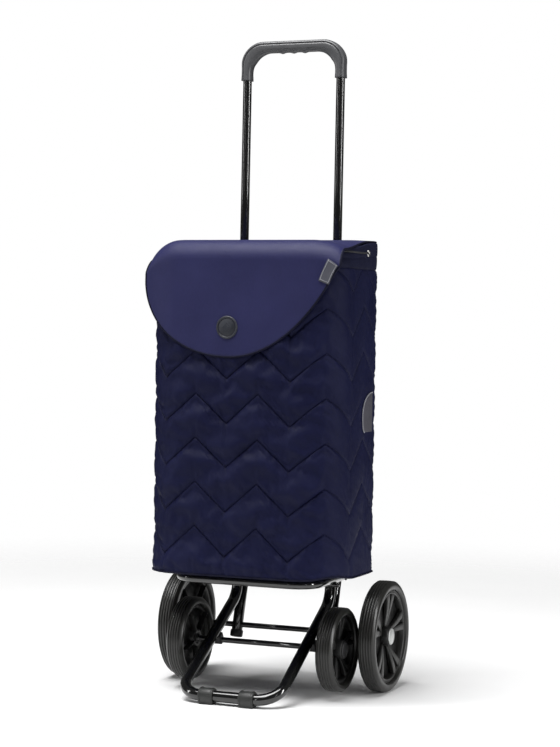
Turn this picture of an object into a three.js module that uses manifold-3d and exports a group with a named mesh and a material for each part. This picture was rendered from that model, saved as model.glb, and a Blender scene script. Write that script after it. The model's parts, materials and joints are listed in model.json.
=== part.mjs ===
// Shopping trolley with four wheels, a tubular steel frame, a fold-up load shelf and a
// quilted bag with a flap. Millimetres, +Z up, the front of the trolley towards -Y.
// The origin is on the ground, under the middle of the whole trolley.
import * as THREE from 'three';
import { mergeVertices } from 'three/addons/utils/BufferGeometryUtils.js';
import Module from 'manifold-3d';

const wasm = await Module();
wasm.setup();

// ---------------------------------------------------------------- driving dimensions
const GAP = 0.3;                  // clearance between touching pieces

const REAR_AXLE_Y = 83;
const REAR_WHEEL_RADIUS = 100;
const REAR_WHEEL_WIDTH = 33;
const REAR_WHEEL_X = 196;         // middle of the wheel

const REAR_SEAT = 84;             // radius where the tyre sits on the rim

const FRONT_AXLE_Y = REAR_AXLE_Y - 97;
const FRONT_AXLE_Z = 85.9;
const FRONT_WHEEL_RADIUS = 74.5;
const FRONT_WHEEL_WIDTH = 32;
const FRONT_WHEEL_X = 143.7;
const FRONT_SEAT = 61;
const AXLE_RADIUS = 5;

const FRAME_TUBE_RADIUS = 10;     // bow, uprights and rear struts
const FRAME_TUBE_BORE = 8.5;
const HANDLE_TUBE_RADIUS = 8;
const HANDLE_TUBE_BORE = 6.8;
const SHELF_TUBE_RADIUS = 8;
const SHELF_TUBE_BORE = 6.5;
const UPRIGHT_X = 92.3;           // half the spacing of the uprights
const UPRIGHT_Y = REAR_AXLE_Y - 3.6;
const UPRIGHT_FOOT_Z = 175;       // height at which the upright is at UPRIGHT_Y
const UPRIGHT_LEAN = 0.01;        // backward lean, y per z
const UPRIGHT_SPLIT_Z = 262;      // where the bow ends and the upright begins
const UPRIGHT_TOP_Z = 640;
const JOINER_REACH = 30;          // length of the joiner in each tube
const JOINER_RADIUS = 8;
const JOINER_BORE = 6.4;
const COLLAR_SKIRT = 22;          // part of the collar below the upright's top
const COLLAR_LIP = 12;            // and above it
const COLLAR_RADIUS = 13;

const BOW_BEND_Z = 158;           // corner between the upright and the slanted leg
const BOW_BEND_RADIUS = 45;
const BOW_BAR_Y = REAR_AXLE_Y - 252;
const BOW_BAR_Z = 14.1;
const BOW_CORNER_RADIUS = 40;

const STRUT_LEAN = 0.29;          // y per z, forward towards the axle
const STRUT_TOP_Z = 214;
const STRUT_END_Z = 81;

const PLATE_THICKNESS = 4;
const PLATE_Z = 209.5;            // middle height of the side plates and of the shelf
const PLATE_HALF_HEIGHT = 9.5;
const SHELF_PIVOT_Y = REAR_AXLE_Y - 50;
const SHELF_FRONT_Y = REAR_AXLE_Y - 200;
const SHELF_X = 131;              // middle of the shelf's side tubes
const SHELF_CORNER_RADIUS = 42;
const SHELF_TAIL = 12;            // tube behind the pivot
const PIN_RADIUS = 4;
const PIN_HEAD_RADIUS = 6.5;
const STOP_Y = SHELF_PIVOT_Y - 30;

const BAG_HALF_WIDTH = 181;
const BAG_FRONT_Y = REAR_AXLE_Y - 218;
const BAG_BACK_Y = REAR_AXLE_Y - 15;
const BAG_BOTTOM_Z = 218;
const BAG_TOP_Z = 803;
const BAG_WALL = 4;
const BAG_FRONT_CORNER = 50;
const BAG_BACK_CORNER = 28;

const FLAP_THICKNESS = 3;
const FLAP_INNER_Z = BAG_TOP_Z + 1;
const FLAP_INNER_Y = BAG_FRONT_Y - 4.5;
const FLAP_FRONT_BEND = 10;
const FLAP_HALF_WIDTH = 183;
const FLAP_LEFT_Z = 735;          // the flap's outline curves in below this height on the left
const FLAP_RIGHT_Z = 775;         // and below this one on the right
const FLAP_TIP_X = -18;
const FLAP_TIP_Z = 602;

const BADGE_RADIUS = 20;
const BADGE_X = -21;
const BADGE_Z = 653.5;
const LABEL_WIDTH = 19;
const LABEL_HEIGHT = 46;
const LABEL_THICKNESS = 0.8;
const LABEL_TURN = 0.36;
const LABEL_X = 163;
const LABEL_Z = 754;

const HANDLE_END_Z = 470;
const GRIP_END_Z = 1110.5;
const GRIP_BAR_Z = 1170.5;
const GRIP_CORNER_RADIUS = 34;
const GRIP_HALF_WIDTH = 10.5;
const GRIP_HALF_DEPTH = 12;
const GRIP_EDGE_RADIUS = 7;

const TUBE_SIDES = 12;
const ROUND_SIDES = 28;
// Radius of a round hole that clears a tube of the given radius on all its facets.
const around = (radius) => (radius + GAP / 2) / Math.cos(Math.PI / TUBE_SIDES);
const BOLT_RADIUS = 3;
const BOLT_HOLE = around(BOLT_RADIUS);

// ---------------------------------------------------------------- materials
function finish(color, roughness, metalness) {
  return new THREE.MeshStandardMaterial({ color, roughness, metalness });
}
const BLACK_STEEL = finish(0x0c0c0d, 0.25, 0.6);
const ZINC_STEEL = finish(0x8f9296, 0.4, 0.9);
const BLACK_PLASTIC = finish(0x1b1c1d, 0.55, 0);
const GREY_PLASTIC = finish(0x55575b, 0.5, 0);
const TYRE_RUBBER = finish(0x2c2d2c, 0.8, 0);
const FOOT_RUBBER = finish(0x2a2b2b, 0.85, 0);
const SILVER_CAP = finish(0xb9bcc0, 0.3, 0.8);
const NAVY_FABRIC = finish(0x1d1c44, 0.9, 0);
const FLAP_FABRIC = finish(0x2f2c66, 0.85, 0);
const GREY_FABRIC = finish(0x3b3c48, 0.9, 0);
const NICKEL = finish(0xc6c6c2, 0.25, 0.9);
const BLACK_CORD = finish(0x111114, 0.9, 0);

// ---------------------------------------------------------------- solids
// A closed geometry as a manifold solid, with its faces turned outwards.
function solidOf(geometry) {
  const bare = geometry.clone();
  bare.deleteAttribute('normal');
  bare.deleteAttribute('uv');
  const merged = mergeVertices(bare, 1e-4);
  const points = merged.attributes.position;
  const indices = [...merged.index.array];
  const a = new THREE.Vector3();
  const b = new THREE.Vector3();
  const c = new THREE.Vector3();
  let volume = 0;
  const triangles = [];
  for (let i = 0; i < indices.length; i += 3) {
    const [ia, ib, ic] = indices.slice(i, i + 3);
    if (ia === ib || ib === ic || ia === ic) continue;
    triangles.push([ia, ib, ic]);
    a.fromBufferAttribute(points, ia);
    b.fromBufferAttribute(points, ib);
    c.fromBufferAttribute(points, ic);
    volume += a.dot(b.cross(c));
  }
  const facing = triangles.map(([p, q, r]) => (volume > 0 ? [p, q, r] : [p, r, q]));
  return new wasm.Manifold(new wasm.Mesh({
    numProp: 3,
    vertProperties: new Float32Array(points.array),
    triVerts: new Uint32Array(facing.flat()),
  }));
}

function geometryOf(solid) {
  const mesh = solid.getMesh();
  const geometry = new THREE.BufferGeometry();
  geometry.setAttribute('position', new THREE.BufferAttribute(new Float32Array(mesh.vertProperties), 3));
  geometry.setIndex(new THREE.BufferAttribute(new Uint32Array(mesh.triVerts), 1));
  geometry.computeVertexNormals();
  return geometry;
}

const trolley = new THREE.Group();

function addPiece(name, solid, material, parent = trolley) {
  const mesh = new THREE.Mesh(geometryOf(solid), material);
  mesh.name = name;
  parent.add(mesh);
}

// ---------------------------------------------------------------- shapes
function circleShape(radius, sides) {
  const points = [];
  for (let i = 0; i < sides; i += 1) {
    const angle = (2 * Math.PI * i) / sides;
    points.push(new THREE.Vector2(radius * Math.cos(angle), radius * Math.sin(angle)));
  }
  return new THREE.Shape(points);
}

function ringShape(outer, inner, sides) {
  const shape = circleShape(outer, sides);
  shape.holes.push(circleShape(inner, sides));
  return shape;
}

// A path of straight lines with a round bend at each inner corner.
class BentPath extends THREE.Curve {
  constructor(corners, radius, arcSteps = 4) {
    super();
    this.stations = [{ point: corners[0], tangent: corners[1].clone().sub(corners[0]).normalize() }];
    for (let i = 1; i < corners.length - 1; i += 1) {
      const into = corners[i].clone().sub(corners[i - 1]).normalize();
      const out = corners[i + 1].clone().sub(corners[i]).normalize();
      const turn = into.angleTo(out);
      const bend = Array.isArray(radius) ? radius[i - 1] : radius;
      const reach = bend * Math.tan(turn / 2);
      const start = corners[i].clone().addScaledVector(into, -reach);
      const inward = out.clone().addScaledVector(into, -out.dot(into)).normalize();
      const centre = start.clone().addScaledVector(inward, bend);
      for (let k = 0; k <= arcSteps; k += 1) {
        const angle = (turn * k) / arcSteps;
        const point = centre.clone()
          .addScaledVector(inward, -bend * Math.cos(angle))
          .addScaledVector(into, bend * Math.sin(angle));
        const tangent = into.clone().multiplyScalar(Math.cos(angle))
          .addScaledVector(inward, Math.sin(angle));
        this.stations.push({ point, tangent });
      }
    }
    const last = corners[corners.length - 1];
    this.stations.push({ point: last, tangent: last.clone().sub(corners[corners.length - 2]).normalize() });
  }

  get steps() {
    return this.stations.length - 1;
  }

  getUtoTmapping(u) {
    return u;
  }

  getPoint(t) {
    return this.stations[Math.round(t * this.steps)].point.clone();
  }

  getTangent(t) {
    return this.stations[Math.round(t * this.steps)].tangent.clone();
  }
}

function sweep(shape, path) {
  return solidOf(new THREE.ExtrudeGeometry(shape, { steps: path.steps, extrudePath: path }));
}

const vec = (x, y, z) => new THREE.Vector3(x, y, z);

// A round bar or tube between two points.
function bar(from, to, outer, inner = 0, sides = TUBE_SIDES) {
  const shape = inner > 0 ? ringShape(outer, inner, sides) : circleShape(outer, sides);
  const length = to.distanceTo(from);
  const geometry = new THREE.ExtrudeGeometry(shape, { depth: length, bevelEnabled: false });
  const turn = new THREE.Quaternion().setFromUnitVectors(vec(0, 0, 1), to.clone().sub(from).normalize());
  geometry.applyQuaternion(turn).translate(from.x, from.y, from.z);
  return solidOf(geometry);
}

function box(x0, x1, y0, y1, z0, z1) {
  const geometry = new THREE.BoxGeometry(x1 - x0, y1 - y0, z1 - z0);
  geometry.translate((x0 + x1) / 2, (y0 + y1) / 2, (z0 + z1) / 2);
  return solidOf(geometry);
}

// A lathe around the X axis: profile points are [radius, x].
function latheX(profile, sides, x, y, z) {
  const points = profile.map(([radius, along]) => new THREE.Vector2(radius, along));
  const geometry = new THREE.LatheGeometry(points, sides);
  geometry.rotateZ(-Math.PI / 2).translate(x, y, z);
  return solidOf(geometry);
}

// An outline in the YZ plane, extruded from x0 to x1.
function plateX(shape, x0, x1) {
  const options = { depth: x1 - x0, bevelEnabled: false, curveSegments: 4 };
  const geometry = new THREE.ExtrudeGeometry(shape, options);
  geometry.applyMatrix4(new THREE.Matrix4().makeBasis(vec(0, 1, 0), vec(0, 0, 1), vec(1, 0, 0)));
  return solidOf(geometry.translate(x0, 0, 0));
}

// The upright's middle line.
const uprightY = (z) => UPRIGHT_Y + UPRIGHT_LEAN * (z - UPRIGHT_FOOT_Z);
const strutY = (z) => REAR_AXLE_Y + STRUT_LEAN * (z - REAR_WHEEL_RADIUS);
const SIDES = [['left', -1], ['right', 1]];

// ---------------------------------------------------------------- frame
function makeBow() {
  const bendY = uprightY(BOW_BEND_Z);
  const leg = (side) => [
    vec(side * UPRIGHT_X, uprightY(UPRIGHT_SPLIT_Z - GAP), UPRIGHT_SPLIT_Z - GAP),
    vec(side * UPRIGHT_X, bendY, BOW_BEND_Z),
    vec(side * UPRIGHT_X, BOW_BAR_Y, BOW_BAR_Z),
  ];
  const corners = [...leg(-1), ...leg(1).reverse()];
  const radii = [BOW_BEND_RADIUS, BOW_CORNER_RADIUS, BOW_CORNER_RADIUS, BOW_BEND_RADIUS];
  const shape = ringShape(FRAME_TUBE_RADIUS, FRAME_TUBE_BORE, TUBE_SIDES);
  let bow = sweep(shape, new BentPath(corners, radii));
  for (const [, side] of SIDES) {
    bow = bow.subtract(boltHole(side, uprightY(PLATE_Z)));
  }
  addPiece('front_bow', bow, BLACK_STEEL);
}

// A sideways hole through a frame tube at plate height.
function boltHole(side, y) {
  const from = vec(side * (UPRIGHT_X - 12), y, PLATE_Z);
  return bar(from, vec(side * (UPRIGHT_X + 12), y, PLATE_Z), BOLT_HOLE, 0, 12);
}
function makeUprights() {
  for (const [name, side] of SIDES) {
    const at = (z) => vec(side * UPRIGHT_X, uprightY(z), z);
    const tube = bar(at(UPRIGHT_SPLIT_Z), at(UPRIGHT_TOP_Z), FRAME_TUBE_RADIUS, FRAME_TUBE_BORE);
    addPiece(`upright_${name}`, tube, BLACK_STEEL);
    const joiner = bar(at(UPRIGHT_SPLIT_Z - JOINER_REACH), at(UPRIGHT_SPLIT_Z + JOINER_REACH), JOINER_RADIUS,
      JOINER_BORE);
    addPiece(`tube_joiner_${name}`, joiner, ZINC_STEEL);
    const collar = bar(at(UPRIGHT_TOP_Z - COLLAR_SKIRT), at(UPRIGHT_TOP_Z + COLLAR_LIP), COLLAR_RADIUS,
      around(FRAME_TUBE_RADIUS))
      .add(bar(at(UPRIGHT_TOP_Z + GAP), at(UPRIGHT_TOP_Z + COLLAR_LIP), COLLAR_RADIUS - 1,
        around(HANDLE_TUBE_RADIUS)));
    addPiece(`upright_collar_${name}`, collar, BLACK_PLASTIC);
  }
}

function makeStruts() {
  for (const [name, side] of SIDES) {
    const at = (z) => vec(side * UPRIGHT_X, strutY(z), z);
    const axleHole = bar(vec(side * (UPRIGHT_X - 12), REAR_AXLE_Y, REAR_WHEEL_RADIUS),
      vec(side * (UPRIGHT_X + 12), REAR_AXLE_Y, REAR_WHEEL_RADIUS), around(AXLE_RADIUS));
    const strut = bar(at(STRUT_END_Z), at(STRUT_TOP_Z), FRAME_TUBE_RADIUS, FRAME_TUBE_BORE)
      .subtract(axleHole).subtract(boltHole(side, strutY(PLATE_Z)));
    addPiece(`rear_strut_${name}`, strut, BLACK_STEEL);
    const cup = bar(at(STRUT_END_Z - 3), at(STRUT_END_Z + 9), 11.8)
      .subtract(bar(at(STRUT_END_Z - GAP), at(STRUT_END_Z + 30), around(FRAME_TUBE_RADIUS)))
      .add(bar(at(STRUT_END_Z - 1), at(STRUT_END_Z + 9), FRAME_TUBE_BORE - 2 * GAP));
    addPiece(`strut_end_cap_${name}`, cup, BLACK_PLASTIC);
  }
}

// Side plate that ties the bow to the strut and carries the shelf's pivot and its stop.
function makeSidePlates() {
  const inner = UPRIGHT_X + FRAME_TUBE_RADIUS + GAP;
  const backY = strutY(PLATE_Z) + 12;
  const frontY = STOP_Y - 7;
  const shape = new THREE.Shape();
  const end = 6;
  shape.moveTo(frontY + end, PLATE_Z - PLATE_HALF_HEIGHT);
  shape.lineTo(backY - end, PLATE_Z - PLATE_HALF_HEIGHT);
  shape.absarc(backY - end, PLATE_Z - PLATE_HALF_HEIGHT + end, end, -Math.PI / 2, 0, false);
  shape.lineTo(backY, PLATE_Z + PLATE_HALF_HEIGHT - 2 - end);
  shape.absarc(backY - end, PLATE_Z + PLATE_HALF_HEIGHT - 2 - end, end, 0, Math.PI / 2, false);
  shape.lineTo(frontY + end, PLATE_Z + PLATE_HALF_HEIGHT - 2);
  shape.absarc(frontY + end, PLATE_Z + PLATE_HALF_HEIGHT - 2 - end, end, Math.PI / 2, Math.PI, false);
  shape.lineTo(frontY, PLATE_Z - PLATE_HALF_HEIGHT + end);
  shape.absarc(frontY + end, PLATE_Z - PLATE_HALF_HEIGHT + end, end, Math.PI, 1.5 * Math.PI, false);
  for (const [name, side] of SIDES) {
    const near = side * inner;
    const far = side * (inner + PLATE_THICKNESS);
    let plate = plateX(shape, Math.min(near, far), Math.max(near, far));
    const hole = (y, radius) => bar(vec(near - side, y, PLATE_Z), vec(far + side, y, PLATE_Z), radius, 0, 12);
    plate = plate.subtract(hole(uprightY(PLATE_Z), BOLT_HOLE))
      .subtract(hole(strutY(PLATE_Z), BOLT_HOLE))
      .subtract(hole(SHELF_PIVOT_Y, around(PIN_RADIUS)));
    const stopZ = PLATE_Z - SHELF_TUBE_RADIUS - PIN_RADIUS - GAP;
    const stopEnd = vec(side * (SHELF_X + 7), STOP_Y, stopZ);
    const stop = bar(vec(far - side, STOP_Y, stopZ), stopEnd, PIN_RADIUS, 0, 12);
    addPiece(`side_plate_${name}`, plate.add(stop), BLACK_STEEL);
    for (const [what, y] of [['bow', uprightY(PLATE_Z)], ['strut', strutY(PLATE_Z)]]) {
      const inside = UPRIGHT_X - FRAME_TUBE_RADIUS - GAP;
      const outside = inner + PLATE_THICKNESS + GAP;
      const bolt = bar(vec(side * inside, y, PLATE_Z), vec(side * outside, y, PLATE_Z), BOLT_RADIUS, 0, 12)
        .add(bar(vec(side * (inside - 3), y, PLATE_Z), vec(side * inside, y, PLATE_Z), 5.5, 0, 6))
        .add(bar(vec(side * outside, y, PLATE_Z), vec(side * (outside + 3), y, PLATE_Z), 5.5, 0, 12));
      addPiece(`${what}_bolt_${name}`, bolt, ZINC_STEEL);
    }
    const pivotFrom = inner - 3 + GAP;
    const pivotTo = SHELF_X + SHELF_TUBE_RADIUS + GAP;
    const onPivot = (distance) => vec(side * distance, SHELF_PIVOT_Y, PLATE_Z);
    const pin = bar(onPivot(pivotFrom), onPivot(pivotTo), PIN_RADIUS, 0, 12)
      .add(bar(onPivot(pivotTo), onPivot(pivotTo + 2.5), PIN_HEAD_RADIUS))
      .add(bar(onPivot(pivotFrom - 2), onPivot(inner - GAP), PIN_HEAD_RADIUS));
    addPiece(`shelf_pivot_pin_${name}`, pin, ZINC_STEEL);
    const spacer = bar(onPivot(inner + PLATE_THICKNESS + GAP), onPivot(SHELF_X - SHELF_TUBE_RADIUS - GAP), 7,
      around(PIN_RADIUS));
    addPiece(`shelf_spacer_${name}`, spacer, BLACK_PLASTIC);
  }
}

function makeAxles() {
  // Each axle has a pressed collar just inside each wheel's hub.
  const axle = (y, z, end, collarX) => {
    let rod = bar(vec(-end, y, z), vec(end, y, z), AXLE_RADIUS);
    for (const [, side] of SIDES) {
      rod = rod.add(bar(vec(side * (collarX - 4), y, z), vec(side * collarX, y, z), 7));
    }
    return rod;
  };
  const hubSetback = 2 + GAP;       // the hub starts this far inside the tyre's inner side
  const rearCollar = REAR_WHEEL_X - REAR_WHEEL_WIDTH / 2 + hubSetback - 2;
  const frontCollar = FRONT_WHEEL_X - FRONT_WHEEL_WIDTH / 2 + hubSetback - 2;
  addPiece('rear_axle', axle(REAR_AXLE_Y, REAR_WHEEL_RADIUS, REAR_WHEEL_X + 12, rearCollar), BLACK_STEEL);
  addPiece('front_axle', axle(FRONT_AXLE_Y, FRONT_AXLE_Z, FRONT_WHEEL_X + 10, frontCollar), BLACK_STEEL);
  // Saddles under the slanted legs of the bow hold the front axle.
  const slope = Math.atan2(BOW_BEND_Z - BOW_BAR_Z, uprightY(BOW_BEND_Z) - BOW_BAR_Y);
  for (const [name, side] of SIDES) {
    const down = vec(0, Math.sin(slope), -Math.cos(slope));
    const axle = vec(0, FRONT_AXLE_Y, FRONT_AXLE_Z);
    const barToAxle = axle.clone().sub(vec(0, BOW_BAR_Y, BOW_BAR_Z));
    const tube = axle.clone().addScaledVector(down, -barToAxle.dot(down));
    const shape = new THREE.Shape();
    const along = vec(0, Math.cos(slope), Math.sin(slope));
    const corner = (a, d) => {
      const point = axle.clone().addScaledVector(along, a).addScaledVector(down, d);
      return [point.y, point.z];
    };
    const top = -AXLE_RADIUS - FRAME_TUBE_RADIUS + 2;
    shape.moveTo(...corner(-10, top));
    shape.lineTo(...corner(-10, 1));
    shape.lineTo(...corner(-5, 8.5));
    shape.lineTo(...corner(5, 8.5));
    shape.lineTo(...corner(10, 1));
    shape.lineTo(...corner(10, top));
    shape.closePath();
    const half = FRAME_TUBE_RADIUS + 2.5;
    const block = plateX(shape, side * UPRIGHT_X - half, side * UPRIGHT_X + half);
    const at = (distance) => vec(side * UPRIGHT_X, tube.y, tube.z).addScaledVector(along, distance);
    const saddle = block
      .subtract(bar(at(-30), at(30), around(FRAME_TUBE_RADIUS)))
      .subtract(bar(vec(side * UPRIGHT_X - 20, axle.y, axle.z), vec(side * UPRIGHT_X + 20, axle.y, axle.z),
        around(AXLE_RADIUS)));
    addPiece(`axle_saddle_${name}`, saddle, BLACK_PLASTIC);
  }
}

// Rubber feet clipped round the bow's bar, with a flat sole on the ground.
function makeFeet() {
  const clip = FRAME_TUBE_RADIUS + 3.9;
  for (const [name, x] of [['left', -38], ['right', 38]]) {
    const shape = new THREE.Shape();
    const sole = 9;
    shape.moveTo(BOW_BAR_Y - sole, 0);
    shape.lineTo(BOW_BAR_Y + sole, 0);
    const start = Math.atan2(-BOW_BAR_Z + 4, sole + 3.5);
    shape.absarc(BOW_BAR_Y, BOW_BAR_Z, clip, start, Math.PI - start, false);
    shape.closePath();
    const onBar = (along) => vec(x + along, BOW_BAR_Y, BOW_BAR_Z);
    const foot = plateX(shape, x - 13.5, x + 13.5)
      .subtract(bar(onBar(-20), onBar(20), around(FRAME_TUBE_RADIUS)));
    addPiece(`foot_clamp_${name}`, foot, FOOT_RUBBER);
  }
}

// ---------------------------------------------------------------- load shelf
function makeShelf() {
  const back = SHELF_PIVOT_Y + SHELF_TAIL;
  const path = new BentPath([
    vec(-SHELF_X, back, PLATE_Z), vec(-SHELF_X, SHELF_FRONT_Y, PLATE_Z),
    vec(SHELF_X, SHELF_FRONT_Y, PLATE_Z), vec(SHELF_X, back, PLATE_Z),
  ], SHELF_CORNER_RADIUS);
  let shelf = sweep(ringShape(SHELF_TUBE_RADIUS, SHELF_TUBE_BORE, TUBE_SIDES), path);
  for (const [, side] of SIDES) {
    shelf = shelf.subtract(bar(vec(side * (SHELF_X - 12), SHELF_PIVOT_Y, PLATE_Z),
      vec(side * (SHELF_X + 12), SHELF_PIVOT_Y, PLATE_Z), around(PIN_RADIUS), 0, 12));
  }
  addPiece('load_shelf', shelf, BLACK_STEEL);
  const rodY = SHELF_PIVOT_Y - 75;
  const rodEnd = SHELF_X - SHELF_TUBE_RADIUS - GAP;
  const rod = bar(vec(-rodEnd, rodY, PLATE_Z), vec(rodEnd, rodY, PLATE_Z), 4, 0, 12);
  addPiece('shelf_cross_rod', rod, BLACK_STEEL);
  const boardZ = BAG_BOTTOM_Z + BAG_WALL + GAP;
  addPiece('base_board', box(-155, 155, BAG_FRONT_Y + 28, BAG_BACK_Y - 44, boardZ, boardZ + 3), GREY_PLASTIC);
}

// ---------------------------------------------------------------- wheels
function tyreProfile(radius, halfWidth, seat) {
  const shoulder = 5;
  const rise = radius - seat;
  return [
    [seat, -halfWidth + 4], [seat + 0.5 * rise, -halfWidth], [radius - shoulder, -halfWidth + 0.8],
    [radius, -halfWidth * 0.5], [radius, halfWidth * 0.5], [radius - shoulder, halfWidth - 0.8],
    [seat + 0.5 * rise, halfWidth], [seat, halfWidth - 4], [seat, -halfWidth + 4],
  ];
}

// A wedge between two radii, narrower or wider towards the hub, as a hole in the rim.
function sectorHole(inner, outer, innerHalf, outerHalf, angle) {
  const corners = [];
  const point = (radius, turn) => new THREE.Vector2(radius * Math.cos(turn), radius * Math.sin(turn));
  for (const step of [-1, 0, 1]) corners.push(point(outer, angle + step * outerHalf));
  for (const step of [1, -1]) corners.push(point(inner, angle + step * innerHalf));
  return new THREE.Path(corners);
}

function makeWheel(name, side, x, y, z, radius, width, seat, capMaterial) {
  const wheel = new THREE.Group();
  const facing = (solid) => (side > 0 ? solid : solid.mirror([1, 0, 0]));
  const half = width / 2;
  const faceDepth = 4.5;            // the rim lies this far inside the tyre's side
  const add = (piece, solid, material) => addPiece(`${name}_${piece}`, facing(solid), material, wheel);
  add('tyre', latheX(tyreProfile(radius, half, seat), ROUND_SIDES, 0, 0, 0), TYRE_RUBBER);

  const hub = 17;
  const bore = 8;
  const rimOuter = seat - GAP;
  const rimInner = seat - 8.5;
  const edge = half - faceDepth;
  const band = latheX([[rimInner, -edge], [rimOuter, -edge], [rimOuter, edge], [rimInner, edge],
    [rimInner, -edge]], ROUND_SIDES, 0, 0, 0);
  const face = circleShape(rimInner + 2, ROUND_SIDES);
  const spokes = 5;
  for (let i = 0; i < spokes; i += 1) {
    const angle = Math.PI / 2 + (2 * Math.PI * i) / spokes;
    face.holes.push(sectorHole(hub + 8, rimInner, 0.05, 0.085, angle));
    face.holes.push(sectorHole(hub + 3, rimInner, 0.2, 0.32, angle + Math.PI / spokes));
  }
  const webDepth = 13;
  const wallThickness = 3;
  const web = plateX(face, edge - webDepth, edge);
  // A thin closed wall behind the openings keeps dirt out of the hub.
  const wallBack = edge - webDepth - wallThickness;
  const wall = latheX([[hub - 1, wallBack], [rimInner + 2, wallBack], [rimInner + 2, edge - webDepth],
    [hub - 1, edge - webDepth], [hub - 1, wallBack]], ROUND_SIDES, 0, 0, 0);
  const hubTube = latheX([[bore, -half + 2], [hub, -half + 2], [hub, edge + 1], [bore, edge + 1],
    [bore, -half + 2]], 24, 0, 0, 0);
  const rim = band.add(web).add(wall).add(hubTube).subtract(bar(vec(-40, 0, 0), vec(40, 0, 0), bore, 0, 24));
  add('rim', rim, BLACK_PLASTIC);

  add('bush', bar(vec(-half + 1, 0, 0), vec(edge - 1.5, 0, 0), bore - GAP, around(AXLE_RADIUS), 24), GREY_PLASTIC);
  const capBase = edge + 1 + GAP;
  const cap = latheX([[0, capBase], [15, capBase], [15, capBase + 1.5], [12, capBase + 3.2],
    [0, capBase + 3.8]], 24, 0, 0, 0);
  add('hub_cap', cap, capMaterial);
  wheel.position.set(x, y, z);
  trolley.add(wheel);
}

function makeWheels() {
  for (const [name, side] of SIDES) {
    makeWheel(`rear_${name}`, side, side * REAR_WHEEL_X, REAR_AXLE_Y, REAR_WHEEL_RADIUS, REAR_WHEEL_RADIUS,
      REAR_WHEEL_WIDTH, REAR_SEAT, SILVER_CAP);
    makeWheel(`front_${name}`, side, side * FRONT_WHEEL_X, FRONT_AXLE_Y, FRONT_AXLE_Z, FRONT_WHEEL_RADIUS,
      FRONT_WHEEL_WIDTH, FRONT_SEAT, BLACK_PLASTIC);
  }
}

// ---------------------------------------------------------------- handle
function makeHandle() {
  const at = (side, z) => vec(side * UPRIGHT_X, uprightY(z), z);
  const corners = [at(-1, HANDLE_END_Z), at(-1, GRIP_BAR_Z), at(1, GRIP_BAR_Z), at(1, HANDLE_END_Z)];
  const tube = sweep(ringShape(HANDLE_TUBE_RADIUS, HANDLE_TUBE_BORE, TUBE_SIDES),
    new BentPath(corners, GRIP_CORNER_RADIUS));
  addPiece('handle_tube', tube, BLACK_STEEL);

  const section = new THREE.Shape();
  const round = GRIP_EDGE_RADIUS;
  section.moveTo(-GRIP_HALF_WIDTH + round, -GRIP_HALF_DEPTH);
  section.lineTo(GRIP_HALF_WIDTH - round, -GRIP_HALF_DEPTH);
  section.absarc(GRIP_HALF_WIDTH - round, -GRIP_HALF_DEPTH + round, round, -Math.PI / 2, 0, false);
  section.absarc(GRIP_HALF_WIDTH - round, GRIP_HALF_DEPTH - round, round, 0, Math.PI / 2, false);
  section.absarc(-GRIP_HALF_WIDTH + round, GRIP_HALF_DEPTH - round, round, Math.PI / 2, Math.PI, false);
  section.absarc(-GRIP_HALF_WIDTH + round, -GRIP_HALF_DEPTH + round, round, Math.PI, 1.5 * Math.PI, false);
  section.holes.push(circleShape(around(HANDLE_TUBE_RADIUS), TUBE_SIDES));
  const ends = [at(-1, GRIP_END_Z), at(-1, GRIP_BAR_Z), at(1, GRIP_BAR_Z), at(1, GRIP_END_Z)];
  const path = new BentPath(ends, GRIP_CORNER_RADIUS);
  const grip = new THREE.ExtrudeGeometry(section, { steps: path.steps, extrudePath: path, curveSegments: 3 });
  addPiece('grip', solidOf(grip), GREY_PLASTIC);
}

// ---------------------------------------------------------------- bag
function roundedRectangle(halfWidth, front, back, frontCorner, backCorner) {
  const shape = new THREE.Shape();
  shape.moveTo(-halfWidth + frontCorner, front);
  shape.lineTo(halfWidth - frontCorner, front);
  shape.absarc(halfWidth - frontCorner, front + frontCorner, frontCorner, -Math.PI / 2, 0, false);
  shape.lineTo(halfWidth, back - backCorner);
  shape.absarc(halfWidth - backCorner, back - backCorner, backCorner, 0, Math.PI / 2, false);
  shape.lineTo(-halfWidth + backCorner, back);
  shape.absarc(-halfWidth + backCorner, back - backCorner, backCorner, Math.PI / 2, Math.PI, false);
  shape.lineTo(-halfWidth, front + frontCorner);
  shape.absarc(-halfWidth + frontCorner, front + frontCorner, frontCorner, Math.PI, 1.5 * Math.PI, false);
  return shape;
}

function upright(shape, bottom, top) {
  const options = { depth: top - bottom, bevelEnabled: false, curveSegments: 6 };
  const geometry = new THREE.ExtrudeGeometry(shape, options);
  return solidOf(geometry.translate(0, 0, bottom));
}

const CORD_RADIUS = 1.5;
const CORD_Z = 788;
const EYELET_Y = REAR_AXLE_Y - 80;
const PATCH_FRONT_Y = REAR_AXLE_Y - 96;
const PATCH_BACK_Y = REAR_AXLE_Y - 46;
const PATCH_BOTTOM_Z = 472;
const PATCH_TOP_Z = 542;

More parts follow.
